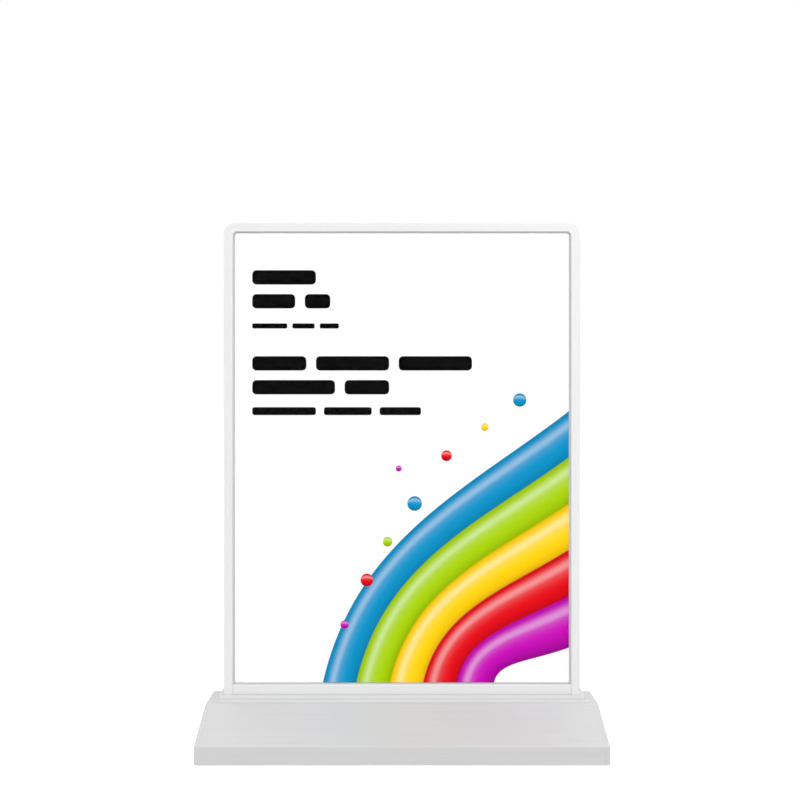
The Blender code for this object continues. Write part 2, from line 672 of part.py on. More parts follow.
def make_socket():
    """The charging socket: a rounded metal shell with a contact tongue in its mouth."""
    half_width, half_height = SOCKET_WIDTH / 2, SOCKET_HEIGHT / 2
    back = SOCKET_MOUTH_Y - SOCKET_LENGTH

    def oval(inset):
        return rectangle(
            SOCKET_X - half_width + inset, SOCKET_X + half_width - inset,
            SOCKET_Z - half_height + inset, SOCKET_Z + half_height - inset, 1.4 * MM - inset,
        )

    socket = new_object("usb_socket", prism(oval(0.0), "Y", back, SOCKET_MOUTH_Y), "steel")
    floor = back + 1.2 * MM
    cut(socket, prism(oval(SOCKET_WALL), "Y", floor, SOCKET_MOUTH_Y + OVERRUN), "mouth")
    tongue_half, tongue_thick = 3.2 * MM, 0.7 * MM
    join(
        socket,
        block(
            (SOCKET_X - tongue_half, SOCKET_X + tongue_half), (back + 0.5 * MM, SOCKET_MOUTH_Y - 1.2 * MM),
            (SOCKET_Z - tongue_thick / 2, SOCKET_Z + tongue_thick / 2),
        ),
        "tongue",
    )


def make_plugs():
    """The two small lead plugs on the board."""
    length, depth, height = PLUG_SIZE
    low = BOARD_TOP + GAP
    for name, (x, y) in (("battery_plug", BATTERY_PLUG), ("led_plug", LED_PLUG)):
        limits = ((x - length / 2, x + length / 2), (y - depth / 2, y + depth / 2), (low, low + height))
        bm = round_edges(block(*limits), faces_meet_square, 0.3 * MM, 1)
        new_object(name, bm, "white_plastic")


def make_lead(name, route, finish):
    """A short flexible lead: a tube on a smooth curve through its route's points."""
    per_span = 5
    ends = [tuple(2 * a - b for a, b in zip(route[0], route[1]))]
    ends += route
    ends.append(tuple(2 * a - b for a, b in zip(route[-1], route[-2])))
    points = []
    for i in range(1, len(ends) - 2):
        p, q, r, s = ends[i - 1], ends[i], ends[i + 1], ends[i + 2]
        for k in range(per_span):
            t = k / per_span
            points.append(tuple(
                0.5 * (2 * b + (c - a) * t + (2 * a - 5 * b + 4 * c - d) * t**2
                       + (3 * b - a - 3 * c + d) * t**3)
                for a, b, c, d in zip(p, q, r, s)
            ))
    points.append(route[-1])
    curve = bpy.data.curves.new(name, "CURVE")
    curve.dimensions = "3D"
    curve.bevel_depth = LEAD_RADIUS
    curve.bevel_resolution = 2
    curve.use_fill_caps = True
    spline = curve.splines.new("POLY")
    spline.points.add(len(points) - 1)
    for target, point in zip(spline.points, points):
        target.co = (*point, 1.0)
    obj = bpy.data.objects.new(name, curve)
    bpy.context.scene.collection.objects.link(obj)
    curve.materials.append(new_material(f"{name}_{finish}", *FINISHES[finish]))


def make_leads():
    """Leads from the cells and from the light strip to the board, under the trough."""
    cell_end = TRAY_HALF_LENGTH - 0.4 * MM
    plug_depth = PLUG_SIZE[1] / 2 + GAP
    make_lead("battery_lead", [
        (cell_end, CELL_Y, CELL_Z),
        (cell_end + 4.0 * MM, CELL_Y + 0.6 * MM, CELL_Z - 1.6 * MM),
        (cell_end + 5.0 * MM, CELL_Y + 6.0 * MM, CELL_Z - 5.2 * MM),
        (cell_end - 3.0 * MM, -5.0 * MM, 5.4 * MM),
        (BATTERY_PLUG[0] + 9.0 * MM, 3.0 * MM, 5.4 * MM),
        (BATTERY_PLUG[0] + 1.2 * MM, 7.2 * MM, 6.5 * MM),
        (BATTERY_PLUG[0], BATTERY_PLUG[1] - plug_depth, PLUG_LEAD_Z),
    ], "red_lead")
    strip_end = STRIP_HALF_LENGTH + GAP
    strip_z = TRENCH_LOW + GAP + CHANNEL_WALL + GAP + STRIP_THICKNESS / 2 + 0.2 * MM
    plug_side = LED_PLUG[0] + PLUG_SIZE[0] / 2 + GAP
    make_lead("led_lead", [
        (strip_end, 0.0, strip_z),
        (LEAD_HOLE_X - 0.9 * MM, 0.0, strip_z - 0.7 * MM),
        (LEAD_HOLE_X, 0.0, TRENCH_LOW - 0.4 * MM),
        (LEAD_HOLE_X - 1.5 * MM, 1.0 * MM, 6.4 * MM),
        (LEAD_HOLE_X - 9.0 * MM, 5.0 * MM, 5.6 * MM),
        (plug_side + 4.5 * MM, 12.6 * MM, 7.2 * MM),
        (plug_side, LED_PLUG[1], PLUG_LEAD_Z),
    ], "red_lead")


def make_light_strip():
    """A row of lamps on a strip board, in a shallow channel at the bottom of the trough."""
    channel_low = TRENCH_LOW + GAP
    channel_floor = channel_low + CHANNEL_WALL
    channel = new_object(
        "led_channel",
        block(
            (-CHANNEL_HALF_LENGTH, CHANNEL_HALF_LENGTH), (-CHANNEL_HALF_DEPTH, CHANNEL_HALF_DEPTH),
            (channel_low, channel_low + CHANNEL_HEIGHT),
        ),
        "satin_aluminium",
    )
    inner_y = CHANNEL_HALF_DEPTH - CHANNEL_WALL
    past = CHANNEL_HALF_LENGTH + OVERRUN
    cut(channel, block((-past, past), (-inner_y, inner_y), (channel_floor, COLLAR_TOP)), "groove")
    strip_low = channel_floor + GAP
    strip_top = strip_low + STRIP_THICKNESS
    strip = new_object(
        "led_strip",
        block(
            (-STRIP_HALF_LENGTH, STRIP_HALF_LENGTH), (-STRIP_HALF_DEPTH, STRIP_HALF_DEPTH),
            (strip_low, strip_top),
        ),
        "white_plastic",
    )
    pitch = 2 * STRIP_HALF_LENGTH / LAMP_COUNT
    lamps = bmesh.new()
    for i in range(LAMP_COUNT):
        x = -STRIP_HALF_LENGTH + pitch * (i + 0.5)
        lamp = block(
            (x - LAMP_LENGTH / 2, x + LAMP_LENGTH / 2), (-LAMP_DEPTH / 2, LAMP_DEPTH / 2),
            (strip_top - 0.3 * MM, strip_top + LAMP_HEIGHT),
        )
        mesh = bpy.data.meshes.new("lamp")
        lamp.to_mesh(mesh)
        lamp.free()
        lamps.from_mesh(mesh)
        bpy.data.meshes.remove(mesh)
    join(strip, lamps, "lamps")


def slanted_rod(radius, base_y, base_z, proud, sides=32):
    """A vertical rod that stands at this y and z and whose top stands proud of the rear slope."""
    bm = rod(radius, "Z", (0.0, 0.0), 0.0, radius, sides)
    for vert in bm.verts:
        if vert.co.z > 0.0:
            vert.co.z = slope_height(base_y + vert.co.y) + proud - base_z
    return bm


def make_switch():
    """The power button, the plunger under it, the switch body and the charge light."""
    press = new_pivot("button_press", (BUTTON_X, BUTTON_Y, BUTTON_LOW))
    bm = slanted_rod(BUTTON_RADIUS, BUTTON_Y, BUTTON_LOW, BUTTON_PROUD)
    round_edges(bm, lambda edge: edge.verts[0].co.z > 0.0 and faces_meet_square(edge), BUTTON_EDGE)
    button = new_object("power_button", bm, "white_plastic", press)
    flange = rod(BUTTON_FLANGE_RADIUS, "Z", (0.0, 0.0), 0.0, BUTTON_FLANGE_TOP - BUTTON_LOW, 32)
    join(button, flange, "flange")
    plunger_top = -GAP
    plunger = rod(PLUNGER_RADIUS, "Z", (0.0, 0.0), PLUNGER_LOW - BUTTON_LOW, plunger_top)
    new_object("switch_plunger", plunger, "dark_plastic", press)
    switch = new_object(
        "switch_body",
        block(
            (BUTTON_X - SWITCH_HALF, BUTTON_X + SWITCH_HALF),
            (BUTTON_Y - SWITCH_HALF, BUTTON_Y + SWITCH_HALF),
            (BOARD_TOP + GAP, SWITCH_TOP),
        ),
        "dark_plastic",
    )
    well = rod(PLUNGER_RADIUS + GAP, "Z", (BUTTON_X, BUTTON_Y), SWITCH_WELL_LOW, SWITCH_TOP + OVERRUN)
    cut(switch, well, "well")
    light = slanted_rod(LIGHT_RADIUS, BUTTON_Y, LIGHT_LOW, LIGHT_PROUD, 20)
    new_object("charge_light", light, "clear_acrylic", None, (LIGHT_X, BUTTON_Y, LIGHT_LOW))


# Panel


def make_panel_rim(panel):
    """The U-shaped frame, grooved inside for the light guide."""
    half = PANEL_WIDTH / 2
    outline = rounded([
        (-half, 0.0, 0.0),
        (-half, PANEL_HEIGHT, RIM_RADIUS),
        (half, PANEL_HEIGHT, RIM_RADIUS),
        (half, 0.0, 0.0),
        (OPENING_HALF, 0.0, 0.0),
        (OPENING_HALF, OPENING_TOP, OPENING_RADIUS),
        (-OPENING_HALF, OPENING_TOP, OPENING_RADIUS),
        (-OPENING_HALF, 0.0, 0.0),
    ], 8)
    bm = prism(outline, "Y", -PANEL_DEPTH / 2, PANEL_DEPTH / 2)
    round_edges(bm, faces_meet_square, RIM_EDGE, 3)
    rim = new_object("panel_rim", bm, "pale_aluminium", panel)
    groove_half = OPENING_HALF + GROOVE_DEPTH
    groove_y = GUIDE_THICKNESS / 2 + GAP
    groove = block(
        (-groove_half, groove_half), (-groove_y, groove_y), (-OVERRUN, OPENING_TOP + GROOVE_DEPTH)
    )
    cut(rim, groove, "guide_groove")


def make_light_guide(panel):
    """The clear plate that takes the strip's light at its lower edge."""
    half = OPENING_HALF + GROOVE_DEPTH - GAP
    top = OPENING_TOP + GROOVE_DEPTH - GAP
    guide_y = GUIDE_THICKNESS / 2
    guide = new_object(
        "light_guide", block((-half, half), (-guide_y, guide_y), (GAP, top)), "clear_acrylic", panel
    )
    for number, x in enumerate((-FOOT_SCREW_X, FOOT_SCREW_X), 1):
        hole = rod(SCREW_HOLE, "Y", (x, FOOT_SCREW_Z), -guide_y - OVERRUN, guide_y + OVERRUN, 16)
        cut(guide, hole, f"hole_{number}")


def make_layers(panel, name, side):
    """The diffuser, the printed sheet, the bottom bar and the gasket of one face."""

    def layer(inner, thickness):
        return sorted((side * inner, side * (inner + thickness)))

    diffuser_half = OPENING_HALF - 0.5 * MM
    diffuser_y = layer(DIFFUSER_Y, DIFFUSER_THICKNESS)
    diffuser_top = OPENING_TOP - 0.5 * MM
    diffuser = rectangle(-diffuser_half, diffuser_half, SHEET_LOW, diffuser_top, OPENING_RADIUS, 4)
    new_object(f"{name}_diffuser", prism(diffuser, "Y", *diffuser_y), "white_plastic", panel)

    half = SHEET_WIDTH / 2
    sheet = block((-half, half), layer(SHEET_Y, SHEET_THICKNESS), (SHEET_LOW, COVER_TOP))
    new_object(f"{name}_sheet", sheet, "paper", panel)

    face, shelf, inner = side * BAR_FACE_Y, side * COVER_Y, side * DIFFUSER_Y
    bar_outline = rounded([
        (inner, 0.0, 0.0), (face, 0.0, BAR_EDGE), (face, BAR_TOP, BAR_EDGE),
        (shelf, BAR_TOP, 0.0), (shelf, BAR_STEP, 0.0), (inner, BAR_STEP, 0.0),
    ], 3)
    bar_half = OPENING_HALF - 0.9 * MM
    bar = new_object(
        f"{name}_bottom_bar", prism(bar_outline, "X", -bar_half, bar_half), "pale_aluminium", panel
    )
    for number, x in enumerate((-FOOT_SCREW_X, FOOT_SCREW_X), 1):
        across = (x, FOOT_SCREW_Z)
        hole = rod(SCREW_HOLE, "Y", across, *layer(DIFFUSER_Y - OVERRUN, PANEL_DEPTH), 16)
        cut(bar, hole, f"hole_{number}")
        if side < 0:
            recess = rod(RECESS_RADIUS, "Y", across, *layer(BAR_FACE_Y - RECESS_DEPTH, PANEL_DEPTH), 24)
            cut(bar, recess, f"recess_{number}")

    outer = COVER_WIDTH / 2 + GAP + GASKET_WIDTH
    low, high = COVER_LOW - GAP - GASKET_WIDTH + 0.15 * MM, COVER_TOP + GAP + GASKET_WIDTH
    gasket_y = layer(COVER_Y, GASKET_THICKNESS)
    ring = rectangle(-outer, outer, low, high, GASKET_RADIUS + GASKET_WIDTH, 5)
    gasket = new_object(f"{name}_gasket", prism(ring, "Y", *gasket_y), "grey_rubber", panel)
    inner = COVER_WIDTH / 2 + GAP
    window = rectangle(-inner, inner, COVER_LOW - GAP, COVER_TOP + GAP, GASKET_RADIUS, 5)
    cut(gasket, prism(window, "Y", -PANEL_DEPTH, PANEL_DEPTH), "window")


def make_foot_screws(panel, mesh):
    """Two screws that draw the bottom bars together through the light guide."""
    seat = -(BAR_FACE_Y - RECESS_DEPTH + GAP)
    for name, x in (("left", -FOOT_SCREW_X), ("right", FOOT_SCREW_X)):
        place = (x, seat, FOOT_SCREW_Z)
        place_mesh(f"{name}_foot_screw", mesh, "steel", panel, place, (math.pi / 2, 0, 0))


def make_cover(panel, name, side):
    """A clear window that pulls straight out of its gasket."""
    middle = (COVER_LOW + COVER_TOP) / 2
    pull = new_pivot(f"{name}_cover_pull", (0.0, side * COVER_Y, middle), panel)
    half_width, half_height = COVER_WIDTH / 2, (COVER_TOP - COVER_LOW) / 2
    outline = rectangle(-half_width, half_width, -half_height, half_height, COVER_RADIUS, 4)
    bm = prism(outline, "Y", *sorted((0.0, side * COVER_THICKNESS)))
    round_edges(bm, faces_meet_square, COVER_EDGE, 1)
    new_object(f"{name}_cover", bm, "clear_acrylic", pull)


def make_light_box():
    for obj in list(bpy.data.objects):
        bpy.data.objects.remove(obj)
    screw = screw_mesh(SCREW_HEAD_RADIUS, SCREW_SHANK_RADIUS, SCREW_SHANK)
    board_screw = screw_mesh(BOARD_SCREW_HEAD_RADIUS, BOARD_SCREW_SHANK_RADIUS, BOARD_SCREW_SHANK)
    foot_screw = screw_mesh(SCREW_HEAD_RADIUS, SCREW_SHANK_RADIUS, FOOT_SCREW_SHANK)
    make_base_shell()
    make_end_cap("left_end_cap", -1)
    make_end_cap("right_end_cap", 1)
    make_cap_screws(screw)
    make_slot_collar()
    make_bottom_plate()
    make_bottom_screws(screw)
    make_feet()
    make_ballast()
    make_battery()
    make_control_board(board_screw)
    make_socket()
    make_plugs()
    make_leads()
    make_light_strip()
    make_switch()
    panel = new_pivot("panel_lift", (0.0, 0.0, PANEL_FOOT_Z))
    make_panel_rim(panel)
    make_light_guide(panel)
    for name, side in (("front", -1), ("rear", 1)):
        make_layers(panel, name, side)
        make_cover(panel, name, side)
    make_foot_screws(panel, foot_screw)


make_light_box()
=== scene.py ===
"""Looks of a desk light box: a lit, double-sided A4 panel in the slot of a long aluminium base.

Sizes are in metres. +Z is up, +X runs along the base, and the front faces -Y.
"""

import math

import bmesh
import bpy
from bpy.props import FloatProperty, FloatVectorProperty, PointerProperty
from bpy.types import Operator, Panel, PropertyGroup
from mathutils import Matrix, Vector


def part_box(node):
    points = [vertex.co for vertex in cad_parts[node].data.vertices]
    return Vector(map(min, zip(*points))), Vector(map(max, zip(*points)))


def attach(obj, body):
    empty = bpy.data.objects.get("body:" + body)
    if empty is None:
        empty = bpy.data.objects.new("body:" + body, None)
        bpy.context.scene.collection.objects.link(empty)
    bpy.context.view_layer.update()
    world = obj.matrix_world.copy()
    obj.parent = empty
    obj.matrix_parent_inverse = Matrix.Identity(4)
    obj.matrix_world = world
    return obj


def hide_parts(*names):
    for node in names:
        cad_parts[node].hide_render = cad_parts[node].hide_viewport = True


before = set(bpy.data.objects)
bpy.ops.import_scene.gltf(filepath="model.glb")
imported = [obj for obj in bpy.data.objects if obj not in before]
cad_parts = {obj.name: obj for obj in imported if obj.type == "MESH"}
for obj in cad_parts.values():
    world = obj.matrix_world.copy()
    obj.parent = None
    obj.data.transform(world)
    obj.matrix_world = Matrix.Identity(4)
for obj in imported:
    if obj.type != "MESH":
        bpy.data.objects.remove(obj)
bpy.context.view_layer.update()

bl_info = {
    "name": "Desk light box",
    "version": (1, 0, 0),
    "blender": (4, 5, 0),
    "location": "3D view > Sidebar > Light box",
    "description": "Dresses the packed model of a desk light box for rendering",
    "category": "Object",
}

MM = 0.001
# Gap that the solids keep, and gap between dressed pieces that touch in the real thing
GAP = 0.3 * MM
SEATED = 0.04 * MM
# How far a cutter reaches past what it cuts
OVERRUN = 2.0 * MM
GRAIN_MAP = "grain"
# The two faces and the two ends, with the side of the middle on which each lies
FACES = (("front", -1), ("rear", 1))
ENDS = (("left", -1), ("right", 1))

# Places that the model's parts give
CAP_LOW, CAP_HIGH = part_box("right_end_cap")
SHELL_LOW, SHELL_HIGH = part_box("base_shell")
COLLAR_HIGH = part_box("slot_collar")[1]
PLATE_LOW, PLATE_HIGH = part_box("bottom_plate")
RIM_LOW, RIM_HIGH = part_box("panel_rim")
STRIP_LOW, STRIP_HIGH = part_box("led_strip")
SOCKET_LOW, SOCKET_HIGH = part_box("usb_socket")
SOCKET, SOCKET_HALF = (SOCKET_LOW + SOCKET_HIGH) / 2, (SOCKET_HIGH - SOCKET_LOW) / 2
BUTTON_LOW, BUTTON_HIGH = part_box("power_button")
BUTTON, BUTTON_HALF = (BUTTON_LOW + BUTTON_HIGH) / 2, (BUTTON_HIGH - BUTTON_LOW) / 2
LIGHT_LOW, LIGHT_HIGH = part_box("charge_light")
LIGHT, LIGHT_RADIUS = (LIGHT_LOW + LIGHT_HIGH) / 2, (LIGHT_HIGH.x - LIGHT_LOW.x) / 2
SHEET_LOW, SHEET_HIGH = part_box("front_sheet")

# Arch of the base, whose depth and height come from the model's base shell
SIDE_HEIGHT = 11.0 * MM
FLAT_HALF = 12.0 * MM
SIDE_RADIUS = 0.6 * MM
SHOULDER_RADIUS = 4.0 * MM
LEAST_RADIUS = 0.5 * MM
BASE_WALL = 1.8 * MM
SLOPE = math.atan2(SHELL_HIGH.z - SIDE_HEIGHT, SHELL_HIGH.y - FLAT_HALF)

# Screw ports along the base's lower corners
PORT_Y = 40.6 * MM
PORT_Z = 6.5 * MM
PORT_HALF_HEIGHT = 3.0 * MM
PORT_INNER_Y = 38.0 * MM
PORT_BORE = 1.3 * MM
PORT_SLIT_HALF = 0.5 * MM
NOTCH_HALF = 8.0 * MM

# Screws and what they sit in
SCREW_HEAD_RADIUS = 2.6 * MM
SCREW_HEAD_HEIGHT = 0.9 * MM
SCREW_CROWN = 0.35 * MM
SCREW_SHANK_RADIUS = 1.1 * MM
CASE_SCREW_SHANK = 10.0 * MM
FOOT_SCREW_SHANK = 11.6 * MM
SCREW_HOLE = 1.5 * MM
RECESS_RADIUS = 2.9 * MM
RECESS_DEPTH = 1.3 * MM

# Slot, with room for the panel to slide, and its collar, trough and pillars
COLLAR_Y = 9.8 * MM
COLLAR_CORNER = 2.5 * MM
SLIDING = 0.1 * MM
SLOT_X = RIM_HIGH.x + SLIDING
SLOT_Y = RIM_HIGH.y + SLIDING
SLOT_CORNER = 0.5 * MM
TROUGH_WALL = 1.2 * MM
TROUGH_X = SLOT_X + TROUGH_WALL
TROUGH_Y = SLOT_Y + TROUGH_WALL
TROUGH_CORNER = 0.8 * MM
TROUGH_LOW = 8.5 * MM
TRENCH_LOW = 10.0 * MM
TRENCH_X = 103.0 * MM
PILLARS = [(sx * 95.0 * MM, sy * 11.2 * MM) for sx in (-1, 1) for sy in (-1, 1)]
PILLAR_RADIUS = 3.0 * MM
PILLAR_TOP = 20.0 * MM
PILLAR_BORE_END = 6.0 * MM
LEAD_HOLE_X = 100.0 * MM
LEAD_HOLE_RADIUS = 1.6 * MM
BOARD_SCREWS = ((24.0 * MM, 32.5 * MM), (80.0 * MM, 32.5 * MM))
BOARD_SCREW_HOLE = 1.1 * MM

# Panel
RIM_FACE = 5.6 * MM
RIM_RADIUS = 6.8 * MM
OPENING_RADIUS = 2.75 * MM
GROOVE_DEPTH = 1.5 * MM
GROOVE_Y = 2.3 * MM
OPENING_X = RIM_HIGH.x - RIM_FACE
OPENING_TOP = RIM_HIGH.z - RIM_FACE
BAR_STEP = 6.2 * MM
BAR_SHELF_Y = 4.0 * MM
FOOT_SCREW_X = 92.0 * MM
FOOT_SCREW_Z = RIM_LOW.z + 3.3 * MM
COVER_RADIUS = 1.5 * MM
# The dressed covers and bars fill their places more closely than the solids, which keep wider gaps
COVER_SPARE = 0.45 * MM
COVER_SPARE_ABOVE = 0.7 * MM
COVER_SPARE_BELOW = 1.05 * MM
BAR_TOP_DROP = 0.6 * MM

# Button, light and socket
BUTTON_RADIUS = 5.0 * MM
FLANGE_TOP = 13.6 * MM
BUTTON_PROUD = 0.9 * MM
LIGHT_PROUD = 0.2 * MM
SOCKET_RADIUS = 1.4 * MM
SOCKET_WALL = 0.4 * MM

# How far etched and anodised aluminium looks metallic
OXIDE_METALLIC = 0.3
# IOR of acrylic
ACRYLIC = 1.49
# Strength of the light that comes through the print, where a strength of 1 is white
BACKLIGHT = 0.85
# Share of the room's light that the thin film and the inks on it send back
FILM_REFLECTS = 0.3

# Print, measured on the sheet from its middle and from its lower edge
INK_THICKNESS = 0.03 * MM
INK_STEP = 0.045 * MM
INK_LIFT = 0.02 * MM
PRINT_MARGIN = 0.2 * MM
PRINT_LOW = 14.0 * MM
TEXT_LEFT = -94.0 * MM
WORD_GAP = 6.0 * MM
# Strokes thinner than this, in millimetres, have narrower gaps between words
FULL_STROKE = 6.0
# Height of each line's middle, its stroke, and the widths of its words, in millimetres
TEXT_LINES = (
    (270.0, 9.0, (40.0,)),
    (255.0, 9.0, (27.0, 16.0)),
    (239.5, 3.2, (22.0, 14.0, 12.0)),
    (216.0, 9.0, (34.0, 46.0, 46.0)),
    (201.0, 9.0, (52.0, 28.0)),
    (186.0, 5.0, (40.0, 30.0, 26.0)),
)
# Foot and end of the first ribbon's upper edge, how far its two handles reach, and what each further
# edge adds, in millimetres
RIBBON_EDGES = ((-50.0, 21.0), (186.0, -29.0), (20.0, -3.5), (92.0, -15.0), (62.0, -7.0), (48.0, -7.5))
# Breadth of a ribbon in steps between edges, so that each lies a little over the next
RIBBON_BREADTH = 1.12
# Middle, radius and colour of each dot, in millimetres
DOTS = (
    (8.0, 128.0, 4.6, 0),
    (-9.0, 104.0, 3.0, 1),
    (-22.0, 80.0, 4.0, 3),
    (28.0, 158.0, 3.4, 3),
    (52.0, 176.0, 2.4, 2),
    (-36.0, 52.0, 2.6, 4),
    (74.0, 193.0, 4.2, 0),
    (-2.0, 150.0, 1.9, 4),
)
INKS = ("blue", "lime", "yellow", "red", "magenta")

# The room's strength as a light, and in reflections from the horizon up to the zenith
ROOM_LIGHT = 0.7
ROOM_HORIZON = 0.97
ROOM_ZENITH = 1.03
# Strength that reflections gain to the right, and how far to the right they have all of it
ROOM_GAIN = 0.2
ROOM_GAIN_X = 0.35
# The floor's own light as the camera and as reflections see it
FLOOR_GLOW = 0.55
FLOOR_GLOW_MIRRORED = 0.12
FLOOR_HALF = 20.0
FLOOR_DROP = 0.05 * MM
CAMERA_PLACE = (-1.2 * MM, -578.0 * MM, 213.5 * MM)
CAMERA_LENS = 41.1
# Name, place, height aimed at, size in metres, power in watts, and whether reflections show it
LAMPS = (
    ("key_lamp", (0.9, -1.1, 1.3), 0.15, 1.8, 5.7, True),
    ("fill_lamp", (-1.2, -0.9, 0.9), 0.15, 1.4, 1.6, True),
    ("back_lamp", (-0.3, 1.4, 0.5), 0.15, 1.6, 3.4, False),
    ("top_lamp", (0.0, -1.15, 2.8), 0.0, 2.1, 29.3, False),
)
WHITE = (1.0, 1.0, 1.0, 1.0)
BLACK = (0.0, 0.0, 0.0, 1.0)


def linear(hex_colour):
    """Linear RGB of an sRGB hex colour."""
    channels = [int(hex_colour[i:i + 2], 16) / 255 for i in (1, 3, 5)]
    return tuple(c / 12.92 if c <= 0.04045 else ((c + 0.055) / 1.055) ** 2.4 for c in channels)


def faint(colour, share):
    """A colour that sends back this share of the light."""
    return tuple(c * share for c in colour)


def colour_property(name, description, hex_colour):
    """A colour that the panel shows."""
    return FloatVectorProperty(
        name=name, description=description, subtype="COLOR", size=3, min=0.0, max=1.0,
        default=linear(hex_colour),
    )


def length_property(name, description, default):
    """A length that the panel shows."""
    return FloatProperty(
        name=name, description=description, subtype="DISTANCE", unit="LENGTH", min=0.0,
        precision=5, default=default,
    )


class LightBoxSizes(PropertyGroup):
    """Small sizes of the dressed pieces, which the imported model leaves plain"""

    cap_round: length_property("Cap rounding", "Radius around the outer edge of an end cap", 1.0 * MM)
    seam: length_property("Cap seam", "Gap that shows between the base shell and an end cap", 0.05 * MM)
    collar_round: length_property("Collar rounding", "Radius along the collar's outer top edge", 1.6 * MM)
    collar_flare: length_property("Collar flare", "Radius of the hollow at the collar's foot", 1.7 * MM)
    slot_round: length_property("Slot rounding", "Radius along the slot's upper edge", 0.2 * MM)
    rim_edge: length_property("Rim edge", "Radius along the edges of the panel's rim", 0.5 * MM)
    bar_edge: length_property("Bar edge", "Radius along the outer edges of a bottom bar", 0.5 * MM)
    gasket_edge: length_property("Gasket lip", "Radius along the lip of a gasket", 0.18 * MM)
    cover_edge: length_property("Cover edge", "Radius along the scraped edges of a cover", 0.12 * MM)
    cover_band: length_property("Cover band", "Depth to which a cover's edge looks frosted", 0.16 * MM)
    button_edge: length_property("Button edge", "Radius around the top of the button", 0.5 * MM)
    foot_edge: length_property("Foot edge", "Radius around the underside of a rubber foot", 0.3 * MM)


class LightBoxColours(PropertyGroup):
    """Colours of the finishes"""

    base_metal: colour_property("Base metal", "Silver anodising of the base and its caps", "#D4D4D5")
    panel_metal: colour_property("Panel metal", "Pale anodising of the rim and the bars", "#ECECED")
    collar: colour_property("Collar", "Moulded collar around the slot", "#D4D4D5")
    plate: colour_property("Bottom plate", "Moulded plate under the base", "#B9BBBD")
    # The gasket's grey is partly the rubber's own and partly painted shade: it stands in for the shade in
    # the gap between the rim and the cover
    gasket: colour_property("Gasket", "Rubber line around the window", "#DADADC")
    foot: colour_property("Feet", "Rubber pads", "#1E1E1F")
    film: colour_property("Backlit film", "Bare sheet with the light behind it", "#F4F4F4")
    black_ink: colour_property("Black ink", "Text lines", "#030303")
    blue_ink: colour_property("Blue ink", "First ribbon", "#008FC4")
    lime_ink: colour_property("Lime ink", "Second ribbon", "#A6CE00")
    yellow_ink: colour_property("Yellow ink", "Third ribbon", "#FFCE05")
    red_ink: colour_property("Red ink", "Fourth ribbon", "#E00012")
    magenta_ink: colour_property("Magenta ink", "Fifth ribbon", "#C400B4")
    button: colour_property("Button", "Power button", "#E9E9E6")
    symbol: colour_property("Button symbol", "Power symbol on the button", "#5A5C60")


# Outlines


def evenly(start, end, steps):
    """Values from start to end, with equal steps between them."""
    return [start + (end - start) * k / steps for k in range(steps + 1)]


def rounded(corners, steps=10):
    """Points of a closed outline whose corners (a, b, radius) are rounded with arcs."""
    points = []
    count = len(corners)
    for i, (a, b, radius) in enumerate(corners):
        if radius <= 0.0:
            points.append((a, b))
            continue
        before, after = corners[i - 1], corners[(i + 1) % count]
        to_before = math.atan2(before[1] - b, before[0] - a)
        to_after = math.atan2(after[1] - b, after[0] - a)
        turn = (to_after - to_before + math.pi) % (2 * math.pi) - math.pi
        reach = radius / math.tan(abs(turn) / 2)
        middle = to_before + turn / 2
        away = radius / math.sin(abs(turn) / 2)
        centre = (a + away * math.cos(middle), b + away * math.sin(middle))
        first = (a + reach * math.cos(to_before), b + reach * math.sin(to_before))
        start = math.atan2(first[1] - centre[1], first[0] - centre[0])
        sweep = math.copysign(math.pi - abs(turn), -turn)
        points += arc(radius, evenly(start, start + sweep, steps), centre)
    return points


def arc(radius, turns, centre=(0.0, 0.0)):
    """Points at these turns about a centre."""
    return [(centre[0] + radius * math.cos(t), centre[1] + radius * math.sin(t)) for t in turns]


def circle(radius, centre=(0.0, 0.0), sides=48):
    """A round outline."""
    return arc(radius, evenly(0.0, 2 * math.pi, sides)[:-1], centre)


def rectangle(low_a, high_a, low_b, high_b, radius, steps=8):
    """A rectangle's outline, with all four corners rounded alike."""
    corners = [(low_a, low_b), (high_a, low_b), (high_a, high_b), (low_a, high_b)]
    return rounded([(a, b, radius) for a, b in corners], steps)


def quarter(radius, steps=6):
    """Insets and heights of a quarter round, from its side up to its top."""
    return [
        (radius * (1 - math.cos(t)), radius * math.sin(t)) for t in evenly(0.0, math.pi / 2, steps)
    ]


def ring(outline, axis, place):
    """An outline's points, set across an axis at this place along it."""
    at = "XYZ".index(axis)
    return [(*point[:at], place, *point[at:]) for point in outline]


def slope_height(y, inset=0.0):
    """Height of the base's sloping face at this y, or of a face that lies inset below it."""
    return SIDE_HEIGHT + (SHELL_HIGH.y - abs(y)) * math.tan(SLOPE) - inset / math.cos(SLOPE)


def slope_reach(z, inset=0.0):
    """Distance from the middle plane at which the sloping face has this height."""
    return SHELL_HIGH.y - (z - SIDE_HEIGHT + inset / math.cos(SLOPE)) / math.tan(SLOPE)


def arch(inset=0.0):
    """The arch's outer line, from the rear foot over the top to the front foot."""
    side, top = SHELL_HIGH.y - inset, SHELL_HIGH.z - inset
    half = [
        (side, SHELL_LOW.z, 0.0),
        (side, slope_height(side, inset), max(SIDE_RADIUS - inset, LEAST_RADIUS)),
        (slope_reach(top, inset), top, max(SHOULDER_RADIUS - inset, LEAST_RADIUS)),
    ]
    return rounded(half + [(-y, z, radius) for y, z, radius in reversed(half)], 12)


def on_slope(outline, centre_y, lift):
    """A flat outline given about a place on the rear slope, laid on the slope and raised by lift."""
    return [(a, centre_y + b, slope_height(centre_y + b) + lift) for a, b in outline]


